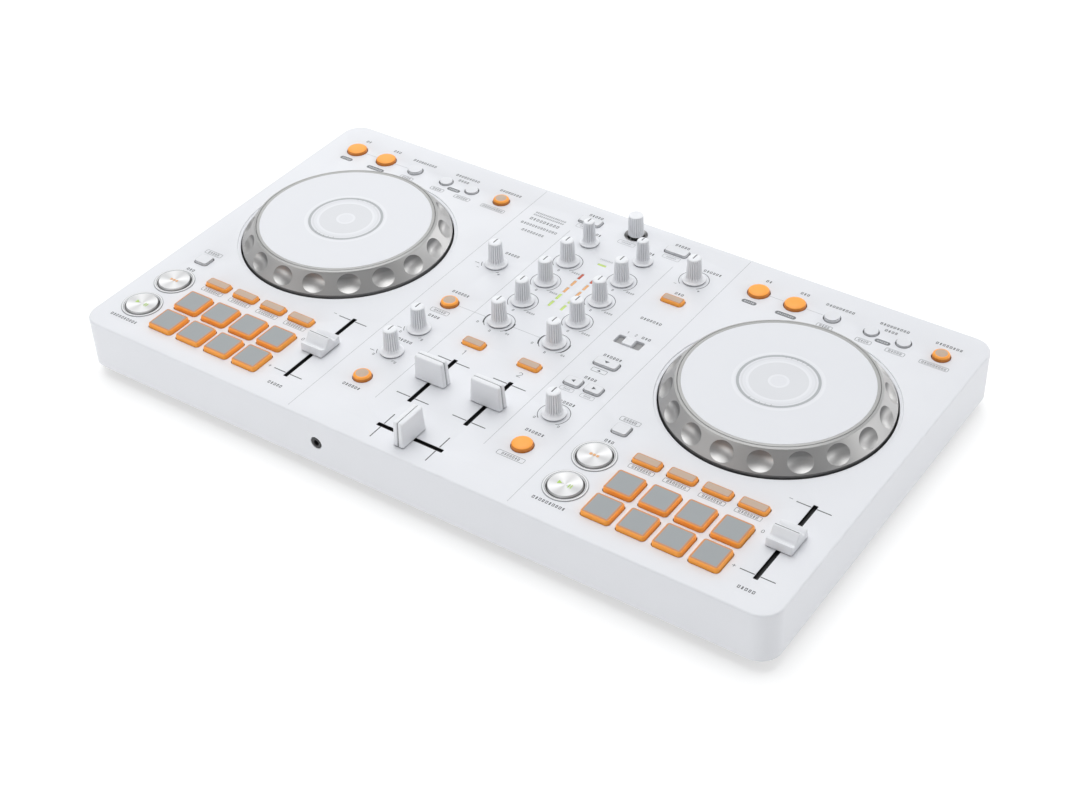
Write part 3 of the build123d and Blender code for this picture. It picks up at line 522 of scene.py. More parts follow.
def top_shell():
    """The upper case with every opening."""
    shape = Shape()
    corner = 8
    outline = box_hole(0, 0, WIDTH, DEPTH, CORNER_R, corner)
    steps = [(-0.3, WALL_LOW), (0, WALL_LOW + 0.3), (0, TOP - EDGE_R)]
    for step in range(1, 7):
        angle = radians(15 * step)
        steps.append((-EDGE_R * (1 - cos(angle)), TOP - EDGE_R + EDGE_R * sin(angle)))
    rings = [lift(outline(grow), z) for grow, z in steps]
    points = corner + 1
    flat_walls = {(1, 4 * points - 1), (1, 2 * points - 1)}
    shape.loft(rings, 0, skip=flat_walls)
    upright_sheet(shape, [round_hole(*PHONES, 3.9)], FRONT, 1)
    rear = [round_hole(MIC_X, REAR_Z, 5.8), box_hole(OUTPUT_X, REAR_Z, 42.4, 15.4, 2.0),
            box_hole(USB_X, REAR_Z, 9.84, 4.16, 2.0), box_hole(LOCK_X, REAR_Z, 7.0, 3.0, 0.8)]
    upright_sheet(shape, rear, BACK, -1)
    inner = lift(outline(-WALL), WALL_LOW)
    shape.loft([rings[0], inner, lift(outline(-WALL), TOP - PANEL)], 0, skip=flat_walls)

    wells = [round_hole(*centre, WELL_STEP_R, JOG_SIDES) for centre in DECKS.values()]
    transport = [KEYS[node][0] for node in KEYS if bezelled(node)]
    bezels = [round_hole(key[0], key[1], BEZEL_R, 64) for key in transport]
    recess = box_hole(*middle(SWITCH), *SWITCH_RECESS, 1.0)
    through = panel_holes() + fader_holes()
    openings = [hole(CHAMFER) for hole in through + wells + [recess]] + [hole(0) for hole in bezels]
    flat, faces = fill(outline(-EDGE_R), openings)
    shape.add(lift(flat, TOP), faces, 0, True)
    # the walls of these openings are painted dark grey as shade
    for hole in panel_holes():
        mouth(shape, hole, PANEL, 1)
    # the slot walls and a sheet closing each slot under the panel are painted black as shade
    for hole in fader_holes():
        mouth(shape, hole, PANEL, 2)
        shape.cap(lift(hole(0), TOP - PANEL), 2)
    # the floor of the switch's recess is painted mid grey as shade
    mouth(shape, recess, SWITCH_RECESS_DEPTH)
    shape.cap(lift(recess(0), TOP - SWITCH_RECESS_DEPTH), 4)
    for centre in DECKS.values():
        jog_well(shape, *centre)
    # the outer chamfer and the inner edge of each bezel are painted grey as shade, and the wall inside it
    # dark grey as shade
    for key in transport:
        inner_r = key[2] + KEY_GAP
        profile = [(BEZEL_R, 0), (BEZEL_R - 0.04, 0.3), (BEZEL_R - 0.4, BEZEL_RISE),
                   (inner_r + 0.85, BEZEL_RISE), (inner_r + 0.5, BEZEL_RISE - 0.06), (inner_r, 0.1),
                   (inner_r, -PANEL)]
        shape.turn(over_panel(profile), key[0], key[1], 64, [5, 5, 3, 5, 3, 1], high=False)
    return shape


def jog_well(shape, x, y):
    """The stepped round well that a jog wheel turns in; its lower wall and floor are painted dark grey as
    shade.
    """
    profile = [(WELL_STEP_R + CHAMFER, 0), (WELL_STEP_R, -CHAMFER), (WELL_STEP_R, -WELL_STEP),
               (WELL_R + 0.3, -WELL_STEP), (WELL_R, -WELL_STEP - 0.3), (WELL_R, -3.5), (WELL_R, -WELL_DEPTH),
               (8.5, -WELL_DEPTH)]
    shape.turn(over_panel(profile), x, y, JOG_SIDES, [0, 0, 0, 0, 0, 1, 1], high=False)


piece("case_shell", top_shell(), [WHITE, SHADE, SLOT_SHADE_BLACK, BEZEL, RECESS_SHADE, EDGE_SHADE], "case",
      ["top_case"])


# ---------------- jog wheels
SLOPE_RUN = JOG_BASE_R - JOG_RIM_R
SLOPE_RISE = JOG_RIM_Z - JOG_BASE_Z
SLOPE = hypot(SLOPE_RUN, SLOPE_RISE)
MID_R = (JOG_BASE_R + JOG_RIM_R) / 2
DIMPLE_W, DIMPLE_L, DIMPLE_DEPTH = 7.35, 6.15, 2.1


def dimple_sector():
    """One eighteenth of the sloped wall as a flat map: points along the rim and up the slope."""
    half = pi * MID_R / DIMPLES
    across, up = 16, 9
    edge = [(-half + 2 * half * i / across, 0.0) for i in range(across)]
    edge += [(half, SLOPE * i / up) for i in range(up)]
    edge += [(half - 2 * half * i / across, SLOPE) for i in range(across)]
    edge += [(-half, SLOPE - SLOPE * i / up) for i in range(up)]
    extra = [(0.0, SLOPE / 2)]
    for share in (1.0, 0.93, 0.84, 0.72, 0.58, 0.42, 0.22):
        for i in range(48):
            angle = 2 * pi * i / 48
            extra.append((share * DIMPLE_W * cos(angle), SLOPE / 2 + share * DIMPLE_L * sin(angle)))
    for i in range(1, across):
        for k in range(1, up):
            t, s = -half + 2 * half * i / across, SLOPE * k / up
            if (t / DIMPLE_W) ** 2 + ((s - SLOPE / 2) / DIMPLE_L) ** 2 > 1.12:
                extra.append((t, s))
    return fill(edge, [], extra)


def jog_wall(shape):
    """The sloped silver wall with its finger dimples."""
    flat, faces = dimple_sector()
    for sector in range(DIMPLES):
        turn = radians(-90 + 360 * sector / DIMPLES)
        points = []
        for t, s in flat:
            spread = (t / DIMPLE_W) ** 2 + ((s - SLOPE / 2) / DIMPLE_L) ** 2
            depth = DIMPLE_DEPTH * max(0.0, 1 - spread)
            r = JOG_BASE_R - SLOPE_RUN * s / SLOPE - depth * SLOPE_RISE / SLOPE
            z = JOG_BASE_Z + SLOPE_RISE * s / SLOPE - depth * SLOPE_RUN / SLOPE
            angle = turn + t / MID_R
            points.append((r * cos(angle), r * sin(angle), TOP + z))
        shape.add(points, faces, 0)


def jog_ring():
    """The turning rim."""
    shape = Shape()
    n = DIMPLES * 16
    base = [(64.2, -5.4), (JOG_BASE_R - 0.3, -5.4), (JOG_BASE_R, -5.1), (JOG_BASE_R, JOG_BASE_Z)]
    shape.turn(over_panel(base), 0, 0, n, 0, high=False)
    jog_wall(shape)
    rim = [(JOG_RIM_R, JOG_RIM_Z), (58.85, 12.55), (57.85, 13.0), (57.6, 13.08), (57.42, 12.98), (57.4, 12.2)]
    shape.turn(over_panel(rim), 0, 0, n, 1, high=False)
    return shape


def strip(shape, points, width, z, paint=0, closed=False):
    """A flat line of constant width through flat points."""
    n = len(points)
    left, right = [], []
    for i in range(n):
        before = points[i - 1] if closed or i else points[0]
        after = points[(i + 1) % n] if closed or i < n - 1 else points[-1]
        dx, dy = after[0] - before[0], after[1] - before[1]
        size = hypot(dx, dy) or 1.0
        nx, ny = -dy / size * width / 2, dx / size * width / 2
        left.append((points[i][0] + nx, points[i][1] + ny, z))
        right.append((points[i][0] - nx, points[i][1] - ny, z))
    faces = []
    for i in range(n if closed else n - 1):
        j = (i + 1) % n
        faces.append((i, n + i, n + j, j))
    shape.add([*left, *right], faces, paint, True)


# printed rings of a jog's plate: radius, sides, width and paint
DISC_RINGS = [(25.8, 144, 1.6, 5), (23.2, 144, 1.7, 2), (20.9, 144, 1.0, 4), (17.8, 120, 1.5, 5),
              (11.6, 96, 10.9, 4), (5.4, 60, 1.5, 5)]


def jog_disc():
    """The flat top plate with its printed rings."""
    shape = Shape()
    top = TOP + JOG_DISC_Z - 0.03
    profile = [(57.15, top - 3.2), (57.15, top - 0.25), (57.05, top - 0.08), (56.9, top), (55.3, top),
               (55.2, top - 0.12), (55.1, top)]
    shape.turn(profile, 0, 0, JOG_SIDES, [3, 3, 3, 3, 3, 0])
    ink = top + 0.02
    for r, sides, width, paint in DISC_RINGS:
        strip(shape, ring_loop(0, 0, r, sides), width, ink, paint, True)
    for step in range(-4, 5):
        for side in (-90, 90):
            angle = radians(side + 4.5 * step)
            reach = 22.6 if step % 2 else 21.6
            ends = [(reach * cos(angle), reach * sin(angle)), (23.1 * cos(angle), 23.1 * sin(angle))]
            strip(shape, ends, 0.22, ink + 0.01, 1)
    return shape


RING_MESH = jog_ring().mesh("jog_ring", [SILVER, RIM], 24)
DISC_MESH = jog_disc().mesh("jog_disc", [JOG_WHITE, INK, PALE_INK, RIM, HALO, GLINT])
for deck, (x, y) in DECKS.items():
    for name, mesh, part in (("rim", RING_MESH, "ring"), ("plate", DISC_MESH, "disc")):
        node = f"{deck}_jog_{part}"
        stand_in(f"{deck}_jog_{name}", node, mesh, [], (x, y), f"{deck}_jog")


# ---------------- knobs
KNOB_TOP = box_mm("channel_1_mid_knob")[1].z - TOP
FLUTES = 20
KNOB_TAPER = 2.7
KNOB_RADII = (7.3, 5.0)
TRIM_RADII = (6.3, 4.3)
POINTER_WIDTH = 0.72


def knob_profile(skirt_r, body_r):
    """Outline of a skirted knob in radius and height over the panel."""
    lean = tan(radians(KNOB_TAPER))
    tip = body_r - lean * (KNOB_TOP - 2.4)
    profile = [(3.0, 0.62), (skirt_r - 0.15, 0.62), (skirt_r - 0.02, 0.78), (skirt_r - 0.02, 1.1),
               (skirt_r - 0.2, 1.28)]
    foot, foot_rise = body_r - lean * 1.8, 2.7
    for share in (0.12, 0.25, 0.4, 0.6, 0.8, 1.0):
        turn = radians(90 * share)
        profile.append((foot + (skirt_r - 0.3 - foot) * (1 - sin(turn)), 1.5 + foot_rise * (1 - cos(turn))))
    for z in (6.0, 9.0, 12.0, 15.0, 16.2):
        profile.append((body_r - lean * (z - 2.4), z))
    profile += [(tip - 0.02, KNOB_TOP - 1.25), (tip - 0.22, KNOB_TOP - 0.85), (tip - 0.6, KNOB_TOP - 0.5),
                (tip - 1.15, KNOB_TOP - 0.26), (tip - 2.0, KNOB_TOP - 0.1), (0.9, KNOB_TOP - 0.04)]
    return profile


def flute(low, high, depth):
    """Scallops down the side of a grip, fading out at both ends."""
    def wave(angle, z):
        rise = min(1.0, max(0.0, (z - TOP - low) / 1.6))
        fall = min(1.0, max(0.0, (high - (z - TOP)) / 0.5))
        return depth * rise * fall * (1 - abs(sin(FLUTES / 2 * angle))) ** 1.2
    return wave


def shade_flute_bottoms(shape, low, high, paint):
    """Paint shade into the bottoms of the scallops with a darker grey."""
    for index, face in enumerate(shape.faces):
        x, y, z = (sum(shape.points[i][axis] for i in face) / len(face) for axis in range(3))
        if low < z - TOP < high and abs(sin(FLUTES / 2 * atan2(y, x))) < 0.45:
            shape.paint[index] = paint


def pointer(shape, profile):
    """The pointer line over a knob's top, following its edge."""
    edge = [(r, z) for r, z in profile if z > KNOB_TOP - 0.9][::-1]
    heights = [(0.0, KNOB_TOP - 0.04), *edge]
    reach = edge[-1][0] - 0.05
    left, right = [], []
    for step in range(13):
        y = reach * (1.42 * step / 12 - 0.42)
        z = KNOB_TOP
        for (r_a, z_a), (r_b, z_b) in zip(heights, heights[1:]):
            if r_a <= abs(y) <= r_b:
                z = z_a + (z_b - z_a) * (abs(y) - r_a) / (r_b - r_a)
        left.append((-POINTER_WIDTH / 2, y, TOP + z + 0.03))
        right.append((POINTER_WIDTH / 2, y, TOP + z + 0.03))
    shape.add([*left, *right], [(i, 13 + i, 14 + i, i + 1) for i in range(12)], 1, True)


def knob(skirt_r, body_r):
    """A skirted, fluted knob with a pointer line over its top."""
    shape = Shape()
    profile = knob_profile(skirt_r, body_r)
    shape.turn(over_panel(profile), 0, 0, FLUTES * 8, 0, flute(2.2, KNOB_TOP - 0.9, 0.75))
    shade_flute_bottoms(shape, 3.4, KNOB_TOP - 1.2, 2)
    shape.turn([(2.9, TOP - PANEL), (2.9, TOP + 0.7)], 0, 0, 24, 0)
    pointer(shape, profile)
    return shape


def browse_knob():
    """The fluted push knob."""
    shape = Shape()
    base, top = 0.72, box_mm("browse_knob")[1].z - TOP
    profile = [(3.3, base), (4.9, base), (5.15, base + 0.25), (5.1, 2.0), (5.0, 6.0), (4.9, 10.0),
               (4.82, top - 1.0), (4.7, top - 0.5), (4.3, top - 0.2), (3.6, top - 0.1), (3.0, top - 0.22),
               (1.0, top - 0.3)]
    shape.turn(over_panel(profile), 0, 0, FLUTES * 8, 0, flute(0.6, top - 0.4, 0.5))
    shade_flute_bottoms(shape, 1.5, top - 1.2, 1)
    return shape


KNOB_LOOKS = [KNOB_WHITE, DARK_INK, KNOB_SHADE]
KNOB_MESH = knob(*KNOB_RADII).mesh("knob", KNOB_LOOKS, 40)
TRIM_MESH = knob(*TRIM_RADII).mesh("trim_knob", KNOB_LOOKS, 40)
for node in KNOBS:
    mesh = TRIM_MESH if "trim" in node else KNOB_MESH
    stand_in(f"{node}_cap", node, mesh, [], middle(node))
BROWSE = middle("browse_knob")
stand_in("browse_knob_cap", "browse_knob", browse_knob(), [KNOB_WHITE, KNOB_SHADE], BROWSE, crease=40)

# the collar's colour is painted sheen that swings light and dark round its axis
collar = Shape()
collar.turn(over_panel([(5.3, -2.2), (5.6, -1.0), (7.3, -0.12), (7.47, -0.02)]), 0, 0, 64, 0, high=False)
piece("browse_collar", collar, [SHEEN_EDGE], "case", (), (*BROWSE, 0))


# ---------------- fader caps
CAP_LIFT = 0.6
FIN_LENGTH, FIN_THICK = 21.4, 7.3
FIN_TOP = box_mm("channel_1_fader_cap")[1].z - TOP
FIN_TAPER = tan(radians(3.5))
TEMPO_TOP = box_mm("deck_1_tempo_cap")[1].z - TOP
TEMPO_HALF = 7.9


def lever(shape):
    """The lever in the slot under a cap."""
    shape.stack(box_hole(0, 0, 1.2, 4.6, 0.1, 1), [(0, TOP - PANEL - 0.5), (0, TOP + 1.0)], 1)


def fin_half(shape, side):
    """One half of a fin: a tapering slab beside the centre groove, towards +Y or -Y."""
    steps = [(0.12, CAP_LIFT), (0.0, CAP_LIFT + 0.15), (0.0, FIN_TOP - 1.1), (0.12, FIN_TOP - 0.6),
             (0.42, FIN_TOP - 0.25), (0.95, FIN_TOP - 0.06), (1.3, FIN_TOP - 0.02)]
    r = 1.1
    rings = []
    for inset, z in steps:
        lean = FIN_TAPER * z
        half = FIN_LENGTH / 2 - lean * 0.9 - inset
        deep = FIN_THICK / 2 - lean * 0.5 - inset * 0.8
        loop = [(-half + 0.5, 0.28), (half - 0.5, 0.28), (half, 0.75), (half, deep - r)]
        for i in range(1, 6):
            angle = radians(18 * i)
            loop.append((half - r + r * cos(angle), deep - r + r * sin(angle)))
        for i in range(1, 8):
            share = i / 8
            loop.append(((half - r) * (1 - 2 * share), deep + 0.16 * sin(pi * share)))
        for i in range(5):
            angle = radians(90 + 18 * i)
            loop.append((-half + r + r * cos(angle), deep - r + r * sin(angle)))
        loop += [(-half, deep - r), (-half, 0.75)]
        rings.append([(x, side * y, TOP + z) for x, y in loop])
    shape.loft(rings, 0, True, True)


def fin():
    """An upright fader cap: two slabs either side of a grey core that shows as a line."""
    shape = Shape()
    for side in (-1, 1):
        fin_half(shape, side)
    half = FIN_LENGTH / 2 - 0.45
    core = []
    for reach, z in ((half, 0.7), (half - FIN_TAPER * FIN_TOP * 0.9, FIN_TOP - 0.35)):
        core.append(lift([(-reach, -0.3), (reach, -0.3), (reach, 0.3), (-reach, 0.3)], TOP + z))
    shape.loft(core, 1, True, True)
    lever(shape)
    return shape


def saddle(height):
    """Height of the tempo cap along Y: a ridge, scoops either side and rounded ends."""
    line = []
    for i in range(41):
        y = -8.6 + 17.2 * i / 40
        far = abs(y)
        if far < 0.9:
            z = height - 0.12 * (far / 0.9) ** 2
        elif far < 5.6:
            share = (far - 0.9) / 4.7
            z = height - 0.12 - (height - 4.75) * sin(share * pi / 2) ** 1.15
        else:
            share = (far - 5.6) / 3.0
            z = 4.63 + 1.35 * sin(share * pi * 0.55)
        line.append((y, z))
    return line


def tempo_cap():
    """A low saddle-shaped cap with a line over its ridge."""
    shape = Shape()
    line = saddle(TEMPO_TOP - 0.04)[::-1]
    ends = [(TEMPO_HALF, 0.7), (7.75, 0.3), (7.4, 0.08), (6.9, 0), (3.5, 0)]
    rings = []
    for x, inset in [(-x, inset) for x, inset in ends] + [(0, 0)] + ends[::-1]:
        sag = 0.25 * (1 - (x / TEMPO_HALF) ** 2)
        low, side = TOP + CAP_LIFT + inset * 0.3, TOP + 4.9 - inset
        ring = [(x, 8.85 - inset, low), (x, 8.8 - inset, side)]
        for y, z in line:
            ring.append((x, y * (1 - inset / 9), TOP + z - inset - (sag if 1.2 < abs(y) < 8 else 0)))
        rings.append(ring + [(x, inset - 8.8, side), (x, inset - 8.85, low)])
    shape.loft(rings, 0, True, True)
    flat_box(shape, 0, 0, 14.4, 0.56, TOP + TEMPO_TOP - 0.01, 1)
    lever(shape)
    return shape


FIN_MESH = fin().mesh("fin_cap", [CAP_WHITE, CAP_CORE], 30)
TEMPO_MESH = tempo_cap().mesh("tempo_cap", [CAP_WHITE, CAP_CORE], 40)
for node, (length, along_x) in FADERS.items():
    mesh = TEMPO_MESH if "tempo" in node else FIN_MESH
    made = piece(f"{node}_top", mesh, [], node, (), (*middle(node), 0))
    if along_x:
        made.rotation_euler = (0, 0, radians(90))
        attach(made, node)
    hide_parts(node)

switch = Shape()
nub = [(-0.1, -1.75), (0, -1.6), (0, 0.7), (-0.15, 0.95), (-0.5, 1.1)]
switch.stack(box_hole(0, 0, 6.8, 6.8, 0.7), over_panel(nub))
for rib in range(-2, 3):
    switch.stack(box_hole(1.1 * rib, 0, 0.4, 5.2, 0.15, 2), over_panel([(0, 1.0), (0, 1.13), (-0.08, 1.18)]))
stand_in(f"{SWITCH}_nub", SWITCH, switch, [CAP_WHITE], middle(SWITCH))


# ---------------- keys
UNDER = TOP - 2.3
MARK_R = 4.6


def dome_key(shape, x, y, r, height):
    """A domed round key whose sides are painted a darker orange as shade."""
    top = TOP + height
    profile = [(r, UNDER), (r, top - 1.9), (r - 0.15, top - 1.35), (r - 0.5, top - 0.9),
               (r - 1.1, top - 0.52), (r * 0.68, top - 0.24), (r * 0.42, top - 0.09), (0.8, top - 0.02)]
    shape.turn(profile, x, y, 56, [3, 3, 3, 0, 0, 0, 0])


def disc_key(shape, x, y, r, height):
    """A round key with a coloured slope around a grey face; its upright sides are painted a darker orange as
    shade.
    """
    top, face = TOP + height, r - 1.7
    profile = [(r, UNDER), (r, TOP + 0.6), (r - 0.2, top - 1.2), (r - 0.6, top - 0.55), (r - 1.1, top - 0.2),
               (face, top - 0.06), (face - 0.3, top - 0.02)]
    shape.turn(profile, x, y, 56, [3, 3, 0, 0, 0, 1])


def button_key(shape, x, y, r, height):
    """A small plain round key with eased edges; the upper side of the edge is painted grey as shade."""
    top = TOP + height
    profile = [(r, UNDER), (r, top - 0.4), (r - 0.12, top - 0.16), (r - 0.4, top - 0.03),
               (r - 0.7, top - 0.02)]
    shape.turn(profile, x, y, 48, [2, 5, 2, 2])


def slab_key(shape, key):
    """A plain rectangular key with eased edges, painted in two greys as shade."""
    top = TOP + key[4]
    steps = [(0, UNDER), (0, top - 0.45), (-0.13, top - 0.16), (-0.42, top - 0.03), (-0.7, top - 0.02)]
    shape.stack(box_hole(*key[:4], key_corner(key)), steps, [0, 1, 2, 0])


def pad_key(shape, key, rim):
    """A rubber key with steep coloured sides, a rounded rim and a flat face of another colour; the rim is
    painted brown as shade.
    """
    top = TOP + key[4]
    outline = box_hole(*key[:4], key_corner(key))
    steps = [(0, UNDER), (0, TOP + 0.5), (-0.15, top - 1.0), (-0.35, top - 0.5), (-0.65, top - 0.2),
             (-0.95, top - 0.08), (-0.95 - rim, top - 0.04)]
    shape.stack(outline, steps, [0, 0, 0, 0, 4, 4], high=False)
    shape.cap(lift(outline(-0.95 - rim), top - 0.04), 1)


def transport_key(shape, r, height):
    """A round key whose spun-looking face falls away slightly from a raised edge; the face and the sides
    carry painted sheen, and a band on the edge is painted grey as shade.
    """
    top = TOP + height
    profile = [(r, UNDER), (r, top - 0.75), (r - 0.08, top - 0.65), (r - 0.65, top - 0.1),
               (r - 0.8, top - 0.02), (r - 0.95, top - 0.06), (r * 0.5, top - 0.2), (0.8, top - 0.34)]
    shape.turn(profile, 0, 0, 96, [1, 1, 1, 4, 0, 0, 0])


def mark_height(r, height):
    """The height of a transport key's marks, just over its hollow face."""
    return TOP + height - 0.34 + 0.28 * MARK_R / (r - 0.95) + 0.02


def play_marks(shape, z):
    """A triangle and two bars on the play key."""
    shape.add([(-MARK_R, -1.5, z), (-1.9, 0, z), (-MARK_R, 1.5, z)], [(0, 1, 2)], 2, True)
    for x in (2.475, 3.975):
        flat_box(shape, x, 0, 0.75, 3.0, z, 2)


def cue_marks(shape, z):
    """Three blocks that stand for the caption on the cue key."""
    for x in (-2.3, -0.1, 2.1):
        flat_box(shape, x, 0, 1.6, 1.8, z, 3)


def key_mark(shape, key, corners):
    """A printed triangle on the top of a key."""
    shape.add([(key[0] + x, key[1] + y, TOP + key[4]) for x, y in corners], [(0, 1, 2)], 3, True)


def key_shape(kind, keys):
    """All caps of one key node."""
    shape = Shape()
    for index, key in enumerate(keys):
        if kind == "loop_keys" and index > 1:
            button_key(shape, *key)
        elif kind in ("loop_keys", "effect_on_key"):
            dome_key(shape, *key)
        elif kind in TRANSPORT_KEYS:
            transport_key(shape, *key[2:])
            (play_marks if kind == "play_key" else cue_marks)(shape, mark_height(*key[2:]))
        elif len(key) == 4:
            disc_key(shape, *key)
        elif kind in SLAB_KEYS:
            slab_key(shape, key)
        else:
            pad_key(shape, key, 0.75 if kind == "pads" else 0.35)
        if kind == "effect_select_key":
            key_mark(shape, key, [(-1.7, 0.9), (0, -1.1), (1.7, 0.9)])
        elif kind == "beat_keys":
            side = 1 if index else -1
            key_mark(shape, key, [(1.5 * side, 0), (-0.9 * side, 1.3), (-0.9 * side, -1.3)])
    return shape


RUBBER_LOOKS = [ORANGE, KEY_AMBER, KEY_WHITE, ORANGE_SIDE_SHADE, PAD_RIM_SHADE]
KEY_LOOKS = {"pads": [ORANGE, PAD_GREY, KEY_WHITE, ORANGE_SIDE_SHADE, PAD_RIM_SHADE],
             "loop_keys": [*RUBBER_LOOKS, EDGE_SHADE]}
KEY_LOOKS.update({kind: [SHEEN_FACE, SHEEN_EDGE, GREEN, MARK_ORANGE, EDGE_SHADE] for kind in TRANSPORT_KEYS})
KEY_LOOKS.update({kind: [KEY_WHITE, EDGE_SHADE, KEY_EDGE_SHADE, DARK_INK] for kind in SLAB_KEYS})
for node, keys in KEYS.items():
    kind = kind_of(node)
    place = keys[0][:2] if kind in TRANSPORT_KEYS else (0.0, 0.0)
    stand_in(f"{node}_caps", node, key_shape(kind, keys), KEY_LOOKS.get(kind, RUBBER_LOOKS), place)


# ---------------- lamps
lamps = Shape()
LENS_STEPS = over_panel([(0, -PANEL), (0, -0.25), (-0.15, -0.05), (-0.4, -0.02)])
for (x, y, w, d), paint in zip(LAMPS, [0, 0, 1, 1, 2] * 2 + [0]):
    lamps.stack(box_hole(x, y, w - 0.1, d - 0.1, 0.25, 2), LENS_STEPS, paint)
piece("meter_lenses", lamps, [LENS_GREEN, LENS_AMBER, LENS_RED], "case", ["led_lenses"])


# ---------------- print on the panel, with painted shade lines round the white keys
PRINT_Z = TOP + 0.02
FINE = 0.3
# everything printed on the panel, and the painted shade lines round the white keys, is drawn into one shape
PRINT_AND_KEY_SHADE = Shape()


def bar(x, y, w, h, paint=0):
    """A printed filled rectangle."""
    PRINT_AND_KEY_SHADE.add(lift(box_loop(x, y, w, h, 0.01, 1), PRINT_Z), [list(range(8))], paint, True)


def pill(x, y, w, h):
    """A printed filled shape with round ends and light blocks inside."""
    loop = box_loop(x, y, w, h, h / 2 - 0.01, 4)
    PRINT_AND_KEY_SHADE.add(lift(loop, PRINT_Z - 0.01), [list(range(len(loop)))], 0, True)
    word(x, y, w - 3.5, 3, 1.4)


def frame_line(x, y, w, h, paint=0, r=0.8):
    """A printed outline with rounded corners."""
    strip(PRINT_AND_KEY_SHADE, box_loop(x, y, w, h, r, 4), FINE, PRINT_Z, paint, True)


def word(x, y, length, paint=2, height=2.2):
    """A row of letter-sized open blocks that stands for a caption."""
    step = height * 0.98
    count = max(1, round(length / step))
    line = height * 0.19
    for n in range(count):
        w = step * (0.68, 0.42, 0.68, 0.56)[n % 4]
        at = x + (n - (count - 1) / 2) * step
        for side in (-1, 1):
            bar(at + side * (w - line) / 2, y, line, height, paint)
            bar(at, y + side * (height - line) / 2, w, line, paint)


def words(x, places, paint=2, height=2.2):
    """Captions at (x, y, length), measured from one x."""
    for at, y, length in places:
        word(x + at, y, length, paint, height)


def label(x, y, w, length, h=3.6, paint=0, height=1.8, r=0.8):
    """A caption in a printed outline."""
    frame_line(x, y, w, h, paint, r)
    word(x, y, length, paint, height)


def arc(x, y, start, end, r=9.5, width=0.4):
    """A printed arc between two angles in degrees."""
    steps = 40
    points = []
    for i in range(steps + 1):
        angle = radians(start + (end - start) * i / steps)
        points.append((x + r * cos(angle), y + r * sin(angle)))
    strip(PRINT_AND_KEY_SHADE, points, width, PRINT_Z, 2)


def digit(value, x, y, size=2.4, paint=0):
    """One of the numbers on the panel."""
    h, w = size / 2, size * 0.3
    forms = {0: [(w * cos(radians(a)), h * sin(radians(a))) for a in range(0, 361, 20)],
             1: [(-w * 0.7, h * 0.6), (0, h), (0, -h)],
             2: [(-w, h * 0.5), (-w * 0.6, h * 0.9), (0, h), (w * 0.7, h * 0.8), (w, h * 0.4), (w * 0.6, 0),
                 (-w, -h), (w, -h)]}
    line = [(x + dx, y + dy) for dx, dy in forms[value]]
    for ends in zip(line, line[1:]):
        strip(PRINT_AND_KEY_SHADE, ends, 0.36, PRINT_Z, paint)


def sign(x, y, both, size=2.2):
    """A minus, or a plus if both strokes are drawn."""
    bar(x, y, size, 0.4)
    if both:
        bar(x, y, 0.4, size)


def end_tick(x, y, reach, along_x=False):
    """A printed line across one end of a fader's slot, broken by the slot."""
    start = SLOT_WIDTH / 2 + 0.3
    for side in (-1, 1):
        at = side * (start + reach) / 2
        if along_x:
            bar(x, y + at, 0.7, reach - start, 2)
        else:
            bar(x + at, y, reach - start, 0.7, 2)


def deck_print(deck):
    """One deck's print."""
    x = DECKS[deck][0]
    words(x, [(-60, 120, 5), (-35, 120, 7), (-10, 118, 20), (26, 118, 20), (26, 113.2, 9), (61, 118, 17),
              (-60.5, -120.8, 21), (-60.5, -60.5, 6), (61, -121, 11)])
    for at, y, w in ((-60, 95, 10), (-35, 95, 14), (26, 101.6, 10)):
        pill(x + at, y, w, 3.4)
    for at, y, w in ((-10, 97, 10), (16, 96.5, 10), (36.5, 96.5, 12), (61, 97, 18)):
        label(x + at, y, w, w - 3, 3.4)
    for left, right in ((-52.2, -42.8), (-27.2, -16.3)):
        bar(x + (left + right) / 2, middle(f"{deck}_loop_keys")[1], right - left, FINE, 1)
    label(x - 60, -39.5, 13, 9)
    for key in KEYS[f"{deck}_mode_keys"]:
        label(key[0], -71.4, 16, 12, 3.2, r=0.6)
    sign(x + 47, -48, False)
    digit(0, x + 47, -78.7)
    sign(x + 47, -109, True)
    for y in (-48.6, -109.2):
        end_tick(x + 61, y, 10.5)


def ring_marks(node):
    """The printed arcs round a level knob: a whole sweep on the right, two ends on the left."""
    x, y = middle(node)
    if x > 0:
        arc(x, y, -52, 232)
        return
    arc(x, y, -56, -44, 9.2)
    arc(x, y, 196, 222, 9.2)
    bar(x - 11.3, y - 4.6, 3.2, 0.4, 2)


def channel_print(number, x):
    """The print of one mixer channel."""
    for row in range(4):
        y = -2 + 24.7 * row
        arc(x, y, -52, 232)
        words(x, [(0, y - 10.4, 2.6), (-11.5, y - 6.6, 2.6)], 0, 1.8)
        word(x + 11.0, y - 7.6, 5.6 if row else 3.0, 0, 1.5)
    for start, end in ((160, 215), (-35, 20)):
        arc(x, -2, start, end, 9.8, 0.9)
    word(x, 107.2, 5)
    digit(number, x, -37.8, 4.2, 2)
    for y in (-48.5, -88.3):
        end_tick(x, y, 11.5)


